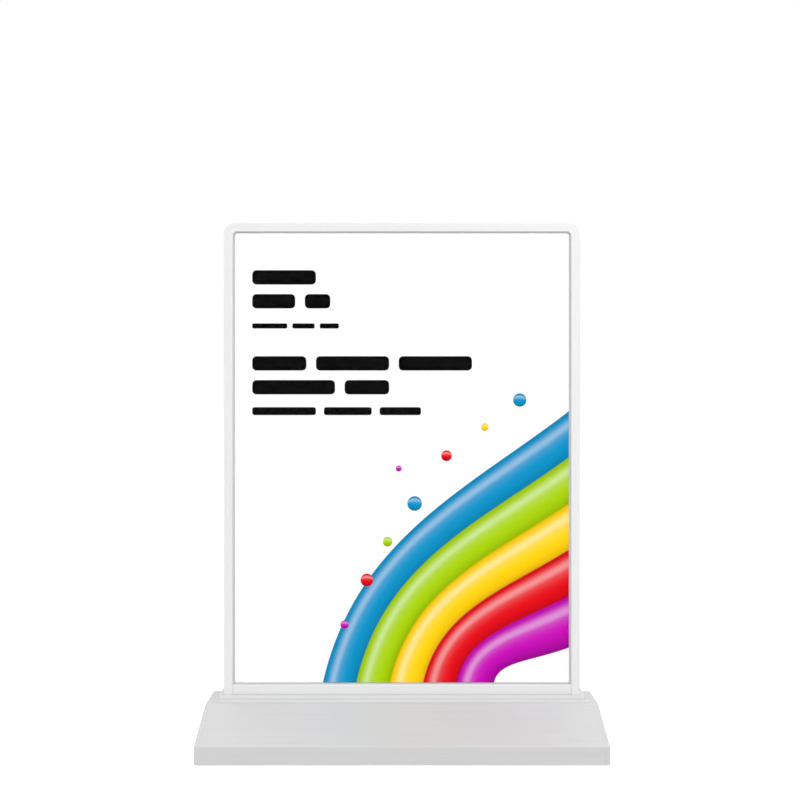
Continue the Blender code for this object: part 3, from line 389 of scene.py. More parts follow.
def socket_outline(inset, steps=10):
    """The charging socket's outer line, or one that lies inset inside it."""
    return rectangle(
        SOCKET.x - SOCKET_HALF.x + inset, SOCKET.x + SOCKET_HALF.x - inset,
        SOCKET.z - SOCKET_HALF.z + inset, SOCKET.z + SOCKET_HALF.z - inset, SOCKET_RADIUS - inset, steps,
    )


# Meshes


def lofted(rings, closed=False):
    """A closed mesh through rings of equal length, mapped in metres along its run and around it."""
    bm = bmesh.new()
    layer = bm.loops.layers.uv.new(GRAIN_MAP)
    verts = [[bm.verts.new(point) for point in points] for points in rings]
    around = [0.0]
    for before, point in zip(rings[0], rings[0][1:]):
        around.append(around[-1] + (Vector(point) - Vector(before)).length)
    around.append(-(Vector(rings[0][0]) - Vector(rings[0][-1])).length)
    along = [0.0]
    for before, points in zip(rings, rings[1:] + rings[:1]):
        along.append(along[-1] + (Vector(points[0]) - Vector(before[0])).length)
    last = len(rings) if closed else len(rings) - 1
    for j in range(last):
        lower, upper = verts[j], verts[(j + 1) % len(rings)]
        for i in range(len(lower)):
            face = bm.faces.new((lower[i - 1], lower[i], upper[i], upper[i - 1]))
            places = ((i - 1, j), (i, j), (i, j + 1), (i - 1, j + 1))
            for corner, (a, b) in zip(face.loops, places):
                corner[layer].uv = (along[b], around[a])
    if not closed:
        for points in (verts[0], verts[-1]):
            face = bm.faces.new(points)
            for corner in face.loops:
                corner[layer].uv = (corner.vert.co.x, corner.vert.co.y + corner.vert.co.z)
    bmesh.ops.recalc_face_normals(bm, faces=bm.faces)
    return bm


def prism(outline, axis, low, high):
    """A closed mesh of one outline, extruded along an axis."""
    return lofted([ring(outline, axis, low), ring(outline, axis, high)])


def block(x, y, z):
    """A box between the two limits of each axis."""
    return prism([(x[0], y[0]), (x[1], y[0]), (x[1], y[1]), (x[0], y[1])], "Z", *z)


def rod(radius, axis, centre, low, high, sides=48):
    """A round rod along an axis, about a centre given in the plane across it."""
    return prism(circle(radius, centre, sides), axis, low, high)


def stacked(profile, axis, centre, sides=64):
    """A round solid along an axis, from (radius, place) pairs that have no point on the axis."""
    return lofted([ring(circle(radius, centre, sides), axis, place) for radius, place in profile])


def gathered(meshes):
    """One mesh that holds several separate closed ones."""
    whole = bmesh.new()
    for bm in meshes:
        mesh = bpy.data.meshes.new("part")
        bm.to_mesh(mesh)
        bm.free()
        whole.from_mesh(mesh)
        bpy.data.meshes.remove(mesh)
    return whole


def bare_object(name, bm):
    """An object of this mesh, without a finish, on no body."""
    mesh = bpy.data.meshes.new(name)
    bm.to_mesh(mesh)
    bm.free()
    return placed_object(name, mesh)


def placed_object(name, data):
    """An object of this data in the scene."""
    obj = bpy.data.objects.new(name, data)
    bpy.context.scene.collection.objects.link(obj)
    return obj


def apply_modifiers(obj):
    """Puts an object's evaluated mesh in place of its own."""
    bpy.context.view_layer.update()
    graph = bpy.context.evaluated_depsgraph_get()
    mesh = bpy.data.meshes.new_from_object(
        obj.evaluated_get(graph), preserve_all_data_layers=True, depsgraph=graph
    )
    obj.modifiers.clear()
    spent, obj.data = obj.data, mesh
    bpy.data.meshes.remove(spent)


def carve(obj, meshes, operation="DIFFERENCE"):
    """Cuts meshes under construction out of an object, or joins them to it."""
    for bm in meshes:
        other = bare_object("cutter", bm)
        modifier = obj.modifiers.new("carve", "BOOLEAN")
        modifier.operation = operation
        modifier.solver = "EXACT"
        modifier.object = other
        apply_modifiers(obj)
        bpy.data.meshes.remove(other.data)


def smooth(obj, angle=35):
    """Smooth shading that keeps sharp corners and flat faces flat."""
    obj.data.shade_smooth()
    obj.data.set_sharp_from_angle(angle=math.radians(angle))
    modifier = obj.modifiers.new("flat_faces", "WEIGHTED_NORMAL")
    modifier.keep_sharp = True
    apply_modifiers(obj)


def dress(obj, material, body, replaced=(), angle=35):
    """Shades a piece, gives it its finish and lets it ride on a body in place of CAD nodes."""
    smooth(obj, angle)
    obj.data.materials.clear()
    obj.data.materials.append(material)
    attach(obj, body)
    if replaced:
        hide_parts(*replaced)


def new_piece(name, bm, material, body, replaced=(), cutters=(), angle=35):
    """A piece made from a mesh under construction, less what the cutters take away."""
    obj = bare_object(name, bm)
    carve(obj, cutters)
    dress(obj, material, body, replaced, angle)


# Materials


def add_node(tree, kind, values=None, links=None, **settings):
    """Adds a node with its settings, its input values and the sockets linked to its inputs."""
    node = tree.nodes.new(kind)
    for name, value in settings.items():
        setattr(node, name, value)
    for name, value in (values or {}).items():
        node.inputs[name].default_value = value
    for name, socket in (links or {}).items():
        tree.links.new(socket, node.inputs[name])
    return node


def new_material(name, colour, roughness, values=None):
    """A Principled material with these socket values, its node tree and its shader."""
    material = bpy.data.materials.new(name)
    material.use_nodes = True
    tree = material.node_tree
    shader = tree.nodes["Principled BSDF"]
    plain = {"Base Color": (*colour, 1.0), "Roughness": roughness}
    for socket, value in {**plain, **(values or {})}.items():
        shader.inputs[socket].default_value = value
    return material, tree, shader


def lit(colour, strength=BACKLIGHT):
    """Socket values of a surface that gives off plain light."""
    return {"Emission Color": (*colour, 1.0), "Emission Strength": strength}


def vary(tree, shader, pattern, height, spread, shade):
    """Lets a pattern from 0 to 1 raise the surface, change its roughness and shade its colour."""
    rough = shader.inputs["Roughness"].default_value
    roughness = add_node(
        tree, "ShaderNodeMapRange", {"To Min": rough - spread, "To Max": rough + spread},
        {"Value": pattern},
    )
    bump = add_node(tree, "ShaderNodeBump", {"Distance": height}, {"Height": pattern})
    tree.links.new(roughness.outputs["Result"], shader.inputs["Roughness"])
    tree.links.new(bump.outputs["Normal"], shader.inputs["Normal"])
    if shade:
        colour = shader.inputs["Base Color"].default_value
        dark = (*[c * (1 - shade) for c in colour[:3]], 1.0)
        light = (*[min(1.0, c * (1 + shade)) for c in colour[:3]], 1.0)
        tone = add_node(tree, "ShaderNodeMix", {6: dark, 7: light}, {0: pattern}, data_type="RGBA")
        tree.links.new(tone.outputs[2], shader.inputs["Base Color"])


def gritty(name, colour, roughness, values=None, *, size, height, spread, shade, detail=2.0):
    """A material with bumps of this real size and height, the same in every direction."""
    material, tree, shader = new_material(name, colour, roughness, values)
    place = add_node(tree, "ShaderNodeTexCoord")
    noise = add_node(
        tree, "ShaderNodeTexNoise", {"Scale": 1.0 / size, "Detail": detail},
        {"Vector": place.outputs["Object"]},
    )
    vary(tree, shader, noise.outputs["Fac"], height, spread, shade)
    return material


def brushed_anodised_aluminium(name, colour, roughness):
    """6063 extrusion, brushed along its run, etched and anodised: satin, with faint streaks along it.

    The etched oxide scatters most of the light, so it is drawn as part metal. Real brushing is
    about 0.05 mm wide. It is drawn 1 mm wide, which is as fine as shows.
    """
    material, tree, shader = new_material(name, colour, roughness, {"Metallic": OXIDE_METALLIC})
    streak_length, streak_width = 90.0 * MM, 1.0 * MM
    grain = add_node(tree, "ShaderNodeUVMap", uv_map=GRAIN_MAP)
    stretched = add_node(
        tree, "ShaderNodeMapping", {"Scale": (1 / streak_length, 1 / streak_width, 1.0)},
        {"Vector": grain.outputs["UV"]},
    )
    noise = add_node(
        tree, "ShaderNodeTexNoise", {"Scale": 1.0, "Detail": 3.0}, {"Vector": stretched.outputs["Vector"]}
    )
    vary(tree, shader, noise.outputs["Fac"], 0.002 * MM, 0.06, 0.07)
    return material


def blasted_anodised_aluminium(name, colour):
    """Die-cast aluminium, bead-blasted and anodised: an even satin with a very fine grit."""
    return gritty(
        name, colour, 0.58, {"Metallic": OXIDE_METALLIC},
        size=0.4 * MM, height=0.003 * MM, spread=0.04, shade=0.02,
    )


def zinc_plated_steel(name, colour=linear("#B9BCC2")):
    """Cold-headed steel with bright zinc: a cool shine, broken up by the plating's fine crystals."""
    return gritty(
        name, colour, 0.3, {"Metallic": 1.0},
        size=0.3 * MM, detail=4.0, height=0.004 * MM, spread=0.08, shade=0.08,
    )


def moulded_abs(name, colour, roughness=0.5):
    """Injection-moulded ABS from a spark-eroded tool: matt, with bumps of about 0.2 mm."""
    return gritty(
        name, colour, roughness, size=0.25 * MM, detail=3.0, height=0.012 * MM, spread=0.05, shade=0.03
    )


def moulded_rubber(name, colour):
    """Silicone or EPDM rubber: dull, with a slightly dusty and uneven tone."""
    return gritty(
        name, colour, 0.75, {"IOR": 1.41},
        size=0.5 * MM, detail=4.0, height=0.01 * MM, spread=0.08, shade=0.12,
    )


def cast_acrylic(name):
    """Cast acrylic with a non-glare face: clear, with only a weak shine over the print."""
    values = {
        "IOR": ACRYLIC, "Transmission Weight": 1.0, "Specular IOR Level": 0.08,
        "Specular Tint": (0.04, 0.04, 0.04, 1.0),
    }
    return gritty(
        name, linear("#FEFEFE"), 0.015, values, size=3.0 * MM, height=0.0005 * MM, spread=0.01, shade=0.004
    )


def sawn_acrylic_edge(name):
    """The sheet's edge, sawn and scraped but not polished: frosted, pale and slightly see-through."""
    return gritty(
        name, linear("#F0F3F3"), 0.6, {"IOR": ACRYLIC, "Transmission Weight": 0.25},
        size=0.3 * MM, detail=3.0, height=0.01 * MM, spread=0.08, shade=0.06,
    )


def frosted_light_pipe(name):
    """Moulded acrylic with a frosted end, unlit: pale and slightly see-through."""
    return gritty(
        name, linear("#E8EBEA"), 0.4, {"IOR": ACRYLIC, "Transmission Weight": 0.6},
        size=0.2 * MM, height=0.004 * MM, spread=0.05, shade=0.02,
    )


def dotted_light_guide(name):
    """Clear acrylic printed with white dots 2 mm apart, which let out the light from its edge."""
    material, tree, shader = new_material(name, linear("#F1F4F3"), 0.15, {"IOR": ACRYLIC})
    place = add_node(tree, "ShaderNodeTexCoord")
    dots = add_node(
        tree, "ShaderNodeTexVoronoi", {"Scale": 1.0 / (2.0 * MM), "Randomness": 0.0},
        {"Vector": place.outputs["Object"]},
    )
    printed = add_node(
        tree, "ShaderNodeMapRange", {"From Min": 0.28, "From Max": 0.34, "To Min": 1.0, "To Max": 0.0},
        {"Value": dots.outputs["Distance"]},
    )
    vary(tree, shader, printed.outputs["Result"], 0.01 * MM, 0.12, 0.06)
    return material


def opal_acrylic(name):
    """Extruded opal acrylic, lit from behind: milky, so that the light spreads evenly in it."""
    colour = linear("#F3F4F4")
    return gritty(
        name, faint(colour, 0.5), 0.35,
        {"Subsurface Weight": 0.2, "Subsurface Scale": 0.8 * MM, **lit(colour)},
        size=3.0 * MM, height=0.004 * MM, spread=0.04, shade=0.01,
    )


def backlit_film(name, colour):
    """Polyester film for light boxes, lit from behind: even white, with a fine matt coating."""
    return gritty(
        name, faint(colour, FILM_REFLECTS), 0.6, lit(colour),
        size=0.6 * MM, detail=3.0, height=0.004 * MM, spread=0.04, shade=0.01,
    )


def pigment_ink(name, colour, folds=True):
    """Pigment ink on backlit film: it colours the light that comes through the film.

    Ribbons and dots are printed with a fold's light and shade across them.
    """
    material = gritty(
        name, faint(colour, FILM_REFLECTS), 0.55, {"Specular IOR Level": 0.03, **lit(colour)},
        size=0.3 * MM, height=0.002 * MM, spread=0.04, shade=0.0 if folds else 0.03,
    )
    if not folds:
        return material
    tree = material.node_tree
    shader = tree.nodes["Principled BSDF"]
    across = add_node(tree, "ShaderNodeUVMap", uv_map=GRAIN_MAP)
    parts = add_node(tree, "ShaderNodeSeparateXYZ", links={"Vector": across.outputs["UV"]})
    ramp = add_node(tree, "ShaderNodeValToRGB", links={"Fac": parts.outputs["Y"]})
    ramp.color_ramp.interpolation = "B_SPLINE"
    pale = tuple(c + (1.0 - c) * 0.4 for c in colour)
    stops = (
        (0.0, faint(colour, 0.7)), (0.14, colour), (0.26, pale), (0.38, colour), (0.72, colour),
        (1.0, faint(colour, 0.4)),
    )
    while len(ramp.color_ramp.elements) < len(stops):
        ramp.color_ramp.elements.new(0.5)
    for element, (position, shade) in zip(ramp.color_ramp.elements, stops):
        element.position = position
        element.color = (*shade, 1.0)
    reflected = add_node(
        tree, "ShaderNodeMix", {0: FILM_REFLECTS, 6: BLACK}, {7: ramp.outputs["Color"]}, data_type="RGBA"
    )
    tree.links.new(reflected.outputs[2], shader.inputs["Base Color"])
    tree.links.new(ramp.outputs["Color"], shader.inputs["Emission Color"])
    return material


def phosphor(name):
    """Silicone with yellow phosphor over a blue chip, lit: it glows a cool white."""
    return gritty(
        name, linear("#F6E27A"), 0.35, lit(linear("#FFF6DA"), 2.0),
        size=0.25 * MM, height=0.005 * MM, spread=0.08, shade=0.06,
    )


def solder_mask(name, colour):
    """Glass-epoxy board under glossy solder mask, with the weave just showing through."""
    material, tree, shader = new_material(name, colour, 0.35)
    place = add_node(tree, "ShaderNodeTexCoord")
    weave = add_node(
        tree, "ShaderNodeTexWave", {"Scale": 1.0 / (8.0 * MM), "Distortion": 1.5},
        {"Vector": place.outputs["Object"]},
    )
    vary(tree, shader, weave.outputs["Fac"], 0.003 * MM, 0.04, 0.06)
    return material


def plated_metal(name, colour, roughness):
    """Thin bright plating over a stamped or drawn part, with slight rolling marks."""
    return gritty(
        name, colour, roughness, {"Metallic": 1.0},
        size=0.15 * MM, height=0.001 * MM, spread=0.05, shade=0.04,
    )


def glossy_sleeve(name, colour):
    """Heat-shrunk PVC or a lead's PVC sheath: smooth and shiny, with a slight orange peel."""
    return gritty(
        name, colour, 0.3, {"IOR": 1.53}, size=1.2 * MM, height=0.01 * MM, spread=0.05, shade=0.05
    )


def finish_nodes(material, *names):
    """Gives CAD nodes that stay as they are a better finish."""
    for name in names:
        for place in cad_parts[name].material_slots:
            place.material = material


# Base


def make_base_shell(sizes, material):
    """The arched extrusion, with a screw port along each lower corner."""
    end = CAP_LOW.x - sizes.seam
    inner_side, ceiling = SHELL_HIGH.y - BASE_WALL, SHELL_HIGH.z - BASE_WALL
    low, high = PORT_Z - PORT_HALF_HEIGHT, PORT_Z + PORT_HALF_HEIGHT
    slit = math.asin(PORT_SLIT_HALF / PORT_BORE)
    half = [
        (inner_side, SHELL_LOW.z),
        (inner_side, low),
        (PORT_INNER_Y, low),
        (PORT_INNER_Y, PORT_Z - PORT_SLIT_HALF),
        *arc(PORT_BORE, evenly(math.pi + slit, 3 * math.pi - slit, 20), (PORT_Y, PORT_Z)),
        (PORT_INNER_Y, PORT_Z + PORT_SLIT_HALF),
        (PORT_INNER_Y, high),
        (inner_side, high),
        (inner_side, slope_height(inner_side, BASE_WALL)),
        (slope_reach(ceiling, BASE_WALL), ceiling),
    ]
    inner = half + [(-y, z) for y, z in reversed(half)]
    slot_x, slot_y = TROUGH_X + GAP, TROUGH_Y + GAP
    above = SHELL_HIGH.z + OVERRUN
    # The notch takes the port away behind the socket
    notch_x = (SOCKET.x - NOTCH_HALF, SOCKET.x + NOTCH_HALF)
    notch_y = (PORT_INNER_Y - OVERRUN, inner_side + 0.1 * MM)
    cutters = [
        block((-slot_x, slot_x), (-slot_y, slot_y), (TROUGH_LOW, above)),
        rod(BUTTON_RADIUS + GAP, "Z", (BUTTON.x, BUTTON.y), BUTTON_LOW.z, above, 64),
        rod(LIGHT_RADIUS + GAP, "Z", (LIGHT.x, LIGHT.y), BUTTON_LOW.z, above),
        block(notch_x, notch_y, (SHELL_LOW.z + OVERRUN, high + 0.2 * MM)),
        prism(socket_outline(-GAP, 8), "Y", inner_side - OVERRUN, SHELL_HIGH.y + OVERRUN),
    ]
    new_piece(
        "base_extrusion", prism(arch() + inner[::-1], "X", -end, end), material, "base",
        ("base_shell",), cutters,
    )


def make_end_cap(sizes, name, side, material):
    """A cap whose outer edge is rounded over all but its flat underside, with two screw recesses."""
    rings = [ring(arch(), "X", side * CAP_LOW.x)]
    for inset, rise in quarter(sizes.cap_round, 10):
        rings.append(ring(arch(inset), "X", side * (CAP_HIGH.x - sizes.cap_round + rise)))
    seat, flare = CAP_HIGH.x - RECESS_DEPTH, 0.2 * MM
    profile = (
        (SCREW_HOLE, CAP_LOW.x - OVERRUN), (SCREW_HOLE, seat), (RECESS_RADIUS, seat),
        (RECESS_RADIUS, CAP_HIGH.x - flare), (RECESS_RADIUS + flare, CAP_HIGH.x),
        (RECESS_RADIUS + flare, CAP_HIGH.x + OVERRUN),
    )
    recess = [(radius, side * x) for radius, x in profile]
    cutters = [stacked(recess, "X", (y, PORT_Z)) for y in (-PORT_Y, PORT_Y)]
    new_piece(
        f"{name}_cap_casting", lofted(rings), material, "base", (f"{name}_end_cap",), cutters
    )


def screw_mesh(shank, material):
    """A pan-head screw with a cross recess, its head's underside at the origin and its head up."""
    chamfer, point = 0.06 * MM, 1.4 * SCREW_SHANK_RADIUS
    shoulder = SCREW_HEAD_HEIGHT - SCREW_CROWN
    profile = [
        (0.25 * SCREW_SHANK_RADIUS, -shank), (SCREW_SHANK_RADIUS, point - shank), (SCREW_SHANK_RADIUS, 0.0),
        (SCREW_HEAD_RADIUS - chamfer, 0.0), (SCREW_HEAD_RADIUS, chamfer), (SCREW_HEAD_RADIUS, shoulder),
    ]
    for inset, rise in quarter(1.0)[1:]:
        profile.append((SCREW_HEAD_RADIUS * (1.0 - 0.45 * inset), shoulder + SCREW_CROWN * rise))
    screw = bare_object("screw", stacked(profile, "Z", (0.0, 0.0), 40))
    arm, width, depth = 1.5 * MM, 0.36 * MM, 0.62 * MM

    def cross(scale, place):
        a, w = arm * scale, width * (0.5 + 0.5 * scale)
        outline = [(w, w), (w, a), (-w, a), (-w, w), (-a, w), (-a, -w), (-w, -w), (-w, -a), (w, -a),
                   (w, -w), (a, -w), (a, w)]
        return ring(outline, "Z", place)

    top = SCREW_HEAD_HEIGHT + 0.2 * MM
    carve(screw, [lofted([cross(0.62, SCREW_HEAD_HEIGHT - depth), cross(1.0, top)])])
    smooth(screw)
    mesh = screw.data
    bpy.data.objects.remove(screw)
    mesh.materials.append(material)
    return mesh


def place_screw(name, mesh, body, place, tilt, turn, node):
    """A screw that shares its mesh with others, tilted about an axis and turned about its own."""
    screw = placed_object(name, mesh)
    screw.location = place
    angle, axis = tilt
    rotation = Matrix.Rotation(angle, 3, axis) @ Matrix.Rotation(math.radians(turn), 3, "Z")
    screw.rotation_euler = rotation.to_euler()
    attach(screw, body)
    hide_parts(node)


def make_screws(material):
    """The screws that show: in the end caps, under the bottom plate and in the front bottom bar.

    Each head has stopped at an angle of its own.
    """
    mesh = screw_mesh(CASE_SCREW_SHANK, material)
    seat = CAP_HIGH.x - RECESS_DEPTH + GAP
    number = 0
    for end, side in ENDS:
        for face, y in FACES:
            place_screw(
                f"{end}_{face}_cap_fastener", mesh, "base", (side * seat, y * PORT_Y, PORT_Z),
                (side * math.pi / 2, "Y"), 25 + 37 * number, f"{end}_cap_screw_{face}",
            )
            number += 1
    for number, (x, y) in enumerate(PILLARS, 1):
        place_screw(
            f"bottom_fastener_{number}", mesh, "base", (x, y, PLATE_LOW.z + SCREW_HEAD_HEIGHT),
            (math.pi, "X"), -31 * number, f"bottom_screw_{number}",
        )
    foot = screw_mesh(FOOT_SCREW_SHANK, material)
    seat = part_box("front_bottom_bar")[0].y + RECESS_DEPTH - GAP
    for number, (end, side) in enumerate(ENDS):
        place_screw(
            f"{end}_foot_fastener", foot, "panel", (side * FOOT_SCREW_X, seat, FOOT_SCREW_Z),
            (math.pi / 2, "X"), 20 + 50 * number, f"{end}_foot_screw",
        )


def make_slot_collar(sizes, material):
    """The collar round the slot, the trough under it and the pillars for the bottom screws."""

    def loop(x, y, radius, z):
        return ring(rectangle(-x, x, -y, y, radius), "Z", z)

    flange_low, top = SHELL_HIGH.z + SEATED, COLLAR_HIGH.z
    rings = [loop(TROUGH_X, TROUGH_Y, TROUGH_CORNER, z) for z in (TROUGH_LOW, flange_low)]
    # The flange runs out in a hollow round over the flat top of the base
    flare, lip = sizes.collar_flare, 0.1 * MM
    hollow = [(flare, flange_low)]
    hollow += [(flare - rise, flange_low + lip + inset) for inset, rise in quarter(flare)]
    edge = sizes.collar_round
    for out, z in hollow + [(-inset, top - edge + rise) for inset, rise in quarter(edge, 8)]:
        rings.append(loop(COLLAR_HIGH.x + out, COLLAR_Y + out, COLLAR_CORNER + out, z))
    for inset, rise in reversed(quarter(sizes.slot_round, 5)):
        z = top - sizes.slot_round + rise
        rings.append(loop(SLOT_X + inset, SLOT_Y + inset, SLOT_CORNER + inset, z))
    ledge, trench_y = RIM_LOW.z - GAP, SLOT_Y - 0.15 * MM
    for x, y, z in ((SLOT_X, SLOT_Y, ledge), (TRENCH_X, trench_y, ledge), (TRENCH_X, trench_y, TRENCH_LOW)):
        rings.append(loop(x, y, SLOT_CORNER, z))
    collar = bare_object("collar_moulding", lofted(rings))
    inside, bore_end = PLATE_HIGH.z + GAP, PILLAR_TOP - PILLAR_BORE_END
    carve(collar, [rod(PILLAR_RADIUS, "Z", place, inside, PILLAR_TOP) for place in PILLARS], "UNION")
    bores = [rod(PORT_BORE, "Z", place, inside - OVERRUN, bore_end, 24) for place in PILLARS]
    lead = rod(LEAD_HOLE_RADIUS, "Z", (LEAD_HOLE_X, 0.0), TROUGH_LOW - OVERRUN, TRENCH_LOW + OVERRUN, 24)
    carve(collar, bores + [lead])
    dress(collar, material, "base", ("slot_collar",))


def make_bottom_plate(material):
    """The plate that closes the base from below, with recessed screw holes."""
    edge, corner, flare = 0.4 * MM, 2.0 * MM, 0.25 * MM
    rings = []
    for inset, z in ((edge, PLATE_LOW.z), (0.0, PLATE_LOW.z + edge), (0.0, PLATE_HIGH.z)):
        x, y = PLATE_HIGH.x - inset, PLATE_HIGH.y - inset
        rings.append(ring(rectangle(-x, x, -y, y, corner - inset), "Z", z))
    below, above = PLATE_LOW.z - OVERRUN, PLATE_HIGH.z + OVERRUN
    recess_top = PLATE_LOW.z + SCREW_HEAD_HEIGHT + GAP
    profile = (
        (RECESS_RADIUS + flare, below), (RECESS_RADIUS + flare, PLATE_LOW.z),
        (RECESS_RADIUS, PLATE_LOW.z + flare), (RECESS_RADIUS, recess_top),
        (SCREW_HOLE, recess_top), (SCREW_HOLE, above),
    )
    cutters = [stacked(profile, "Z", place, 48) for place in PILLARS]
    cutters += [rod(BOARD_SCREW_HOLE, "Z", place, below, above, 24) for place in BOARD_SCREWS]
    new_piece(
        "bottom_moulding", lofted(rings), material, "base", ("bottom_plate",), cutters
    )


def make_feet(sizes, material):
    """Four rubber pads with a rounded rim and a shallow dish in the middle."""
    dish = 0.12 * MM
    for number in range(1, 5):
        node = f"rubber_foot_{number}"
        low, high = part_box(node)
        centre, radius = (low + high) / 2, (high.x - low.x) / 2
        profile = [(0.15 * radius, low.z + dish), (0.6 * radius, low.z + dish), (0.7 * radius, low.z)]
        for inset, rise in reversed(quarter(sizes.foot_edge)):
            profile.append((radius - inset, low.z + sizes.foot_edge - rise))
        profile += [(radius, high.z), (0.15 * radius, high.z)]
        pad = stacked(profile, "Z", (centre.x, centre.y), 56)
        new_piece(f"foot_pad_{number}", pad, material, "base", (node,))


def make_light_strip(board_material, housing_material, lamp_material, pad_material, resistor_material):
    """The strip board with 24 lamps, the pads beside each, and a resistor to every third one."""
    count, height = 24, 0.8 * MM
    lip, top = STRIP_HIGH.z, STRIP_HIGH.z - height
    pitch = (STRIP_HIGH.x - STRIP_LOW.x) / count
    length, depth, wall, sunk = 1.75 * MM, 1.4 * MM, 0.5 * MM, 0.2 * MM
    pad_away, pad_half, resistor_half = length + 0.35 * MM, 0.3 * MM, 0.8 * MM
    solder = top + 0.02 * MM
    pad_y, pad_z = (-1.0 * MM, 1.0 * MM), (top + 0.01 * MM, top + 0.08 * MM)
    resistor_y, resistor_z = (1.6 * MM, 2.5 * MM), (solder, top + 0.45 * MM)
    board = block((STRIP_LOW.x, STRIP_HIGH.x), (STRIP_LOW.y, STRIP_HIGH.y), (STRIP_LOW.z, top))
    new_piece("strip_board", board, board_material, "base", ("led_strip",))
    housings, lamps, pads, resistors = [], [], [], []
    for i in range(count):
        x = STRIP_LOW.x + pitch * (i + 0.5)
        outer = rectangle(x - length, x + length, -depth, depth, 0.15 * MM, 4)
        inner = rectangle(x - length + wall, x + length - wall, wall - depth, depth - wall, 0.6 * MM, 4)
        lens = [(x + (a - x) * 0.99, b * 0.99) for a, b in inner]
        steps = ((outer, solder), (outer, lip), (inner, lip), (inner, lip - sunk))
        housings.append(lofted([ring(outline, "Z", z) for outline, z in steps]))
        lamps.append(prism(lens, "Z", lip - 0.95 * sunk, lip - 0.3 * sunk))
        for a in (x - pad_away, x + pad_away):
            pads.append(block((a - pad_half, a + pad_half), pad_y, pad_z))
        if i % 3 == 1:
            a = x + pitch / 2
            resistors.append(block((a - resistor_half, a + resistor_half), resistor_y, resistor_z))
    for name, meshes, material, slot in (
        ("strip_lamp_housings", housings, housing_material, "white_plastic"),
        ("strip_lamps", lamps, lamp_material, "diffuser"),
        ("strip_pads", pads, pad_material, "steel"),
        ("strip_resistors", resistors, resistor_material, "dark_plastic"),
    ):
        new_piece(name, gathered(meshes), material, "base")


def make_button(sizes, material, ink):
    """The power button, with its flange, a rounded top that follows the slope, and a power symbol."""
    edge = sizes.button_edge

    def loop(radius):
        return circle(radius, (BUTTON.x, 0.0), 72)

    flange = BUTTON_HALF.x
    level = ((flange, BUTTON_LOW.z), (flange, FLANGE_TOP), (BUTTON_RADIUS, FLANGE_TOP))
    rings = [[(a, BUTTON.y + b, z) for a, b in loop(radius)] for radius, z in level]
    rings.append(on_slope(loop(BUTTON_RADIUS), BUTTON.y, BUTTON_PROUD - 2 * edge))
    for inset, rise in quarter(edge):
        rings.append(on_slope(loop(BUTTON_RADIUS - inset), BUTTON.y, BUTTON_PROUD - edge + rise))
    new_piece("button_cap", lofted(rings), material, "button", ("power_button",))
    # The symbol's open side and bar point up the slope, which is towards -Y
    inner, outer, opening = 1.55 * MM, 1.95 * MM, math.radians(38)
    half_bar, bar_far, bar_near, bar_round = 0.2 * MM, -2.35 * MM, -0.55 * MM, 0.12 * MM
    turns = evenly(opening - math.pi / 2, 1.5 * math.pi - opening, 40)
    broken_circle = arc(outer, turns) + arc(inner, turns[::-1])
    bar = rectangle(-half_bar, half_bar, bar_far, bar_near, bar_round, 4)
    marks = []
    for outline in (broken_circle, bar):
        placed = [(BUTTON.x + a, b) for a, b in outline]
        marks.append(lofted([
            on_slope(placed, BUTTON.y, BUTTON_PROUD + lift) for lift in (0.01 * MM, 0.04 * MM)
        ]))
    new_piece("button_symbol", gathered(marks), ink, "button")


def make_charge_light(material):
    """A light pipe whose domed end stands just proud of the rear slope."""

    def loop(share):
        return circle(LIGHT_RADIUS * share, (LIGHT.x, 0.0), 40)

    rings = [[(a, LIGHT.y + b, LIGHT_LOW.z) for a, b in loop(1.0)]]
    for inset, rise in quarter(1.0, 7)[:-1]:
        lift = LIGHT_PROUD * (2.0 * rise - 1.0) - 0.05 * MM
        rings.append(on_slope(loop(1.0 - inset), LIGHT.y, lift))
    new_piece("light_pipe", lofted(rings), material, "base", ("charge_light",))


def make_socket(shell_material, tongue_material, contact_material):
    """The charging socket: a drawn steel shell, a black tongue and its gold contacts."""
    lip, lead_in = 0.12 * MM, 1.2 * MM
    mouth, floor = SOCKET_HIGH.y, SOCKET_LOW.y + lead_in
    shell = lofted([
        ring(socket_outline(inset), "Y", y) for inset, y in (
            (0.0, SOCKET_LOW.y), (0.0, mouth - lip), (lip * 0.3, mouth - lip * 0.3), (lip, mouth),
            (SOCKET_WALL - lip, mouth), (SOCKET_WALL, mouth - lip), (SOCKET_WALL, floor),
        )
    ])
    new_piece("socket_shell", shell, shell_material, "base", ("usb_socket",))
    half, thick, taper = 3.2 * MM, 0.35 * MM, 0.15 * MM
    front = mouth - lead_in
    rings = []
    for inset, y in ((0.0, floor + 0.02 * MM), (0.0, front - 0.2 * MM), (taper, front)):
        x, z = half - inset, thick - inset
        outline = rectangle(SOCKET.x - x, SOCKET.x + x, SOCKET.z - z, SOCKET.z + z, 0.1 * MM, 4)
        rings.append(ring(outline, "Y", y))
    new_piece("socket_tongue", lofted(rings), tongue_material, "base")
    count, pitch, half_contact = 12, 0.5 * MM, 0.13 * MM
    y = (floor + 0.6 * MM, front - 0.5 * MM)
    contacts = []
    for i in range(count):
        x = SOCKET.x + (i - (count - 1) / 2) * pitch
        for side in (-1, 1):
            face = SOCKET.z + side * thick
            z = sorted((face + side * 0.01 * MM, face + side * 0.05 * MM))
            contacts.append(block((x - half_contact, x + half_contact), y, z))
    new_piece("socket_contacts", gathered(contacts), contact_material, "base")


# Panel


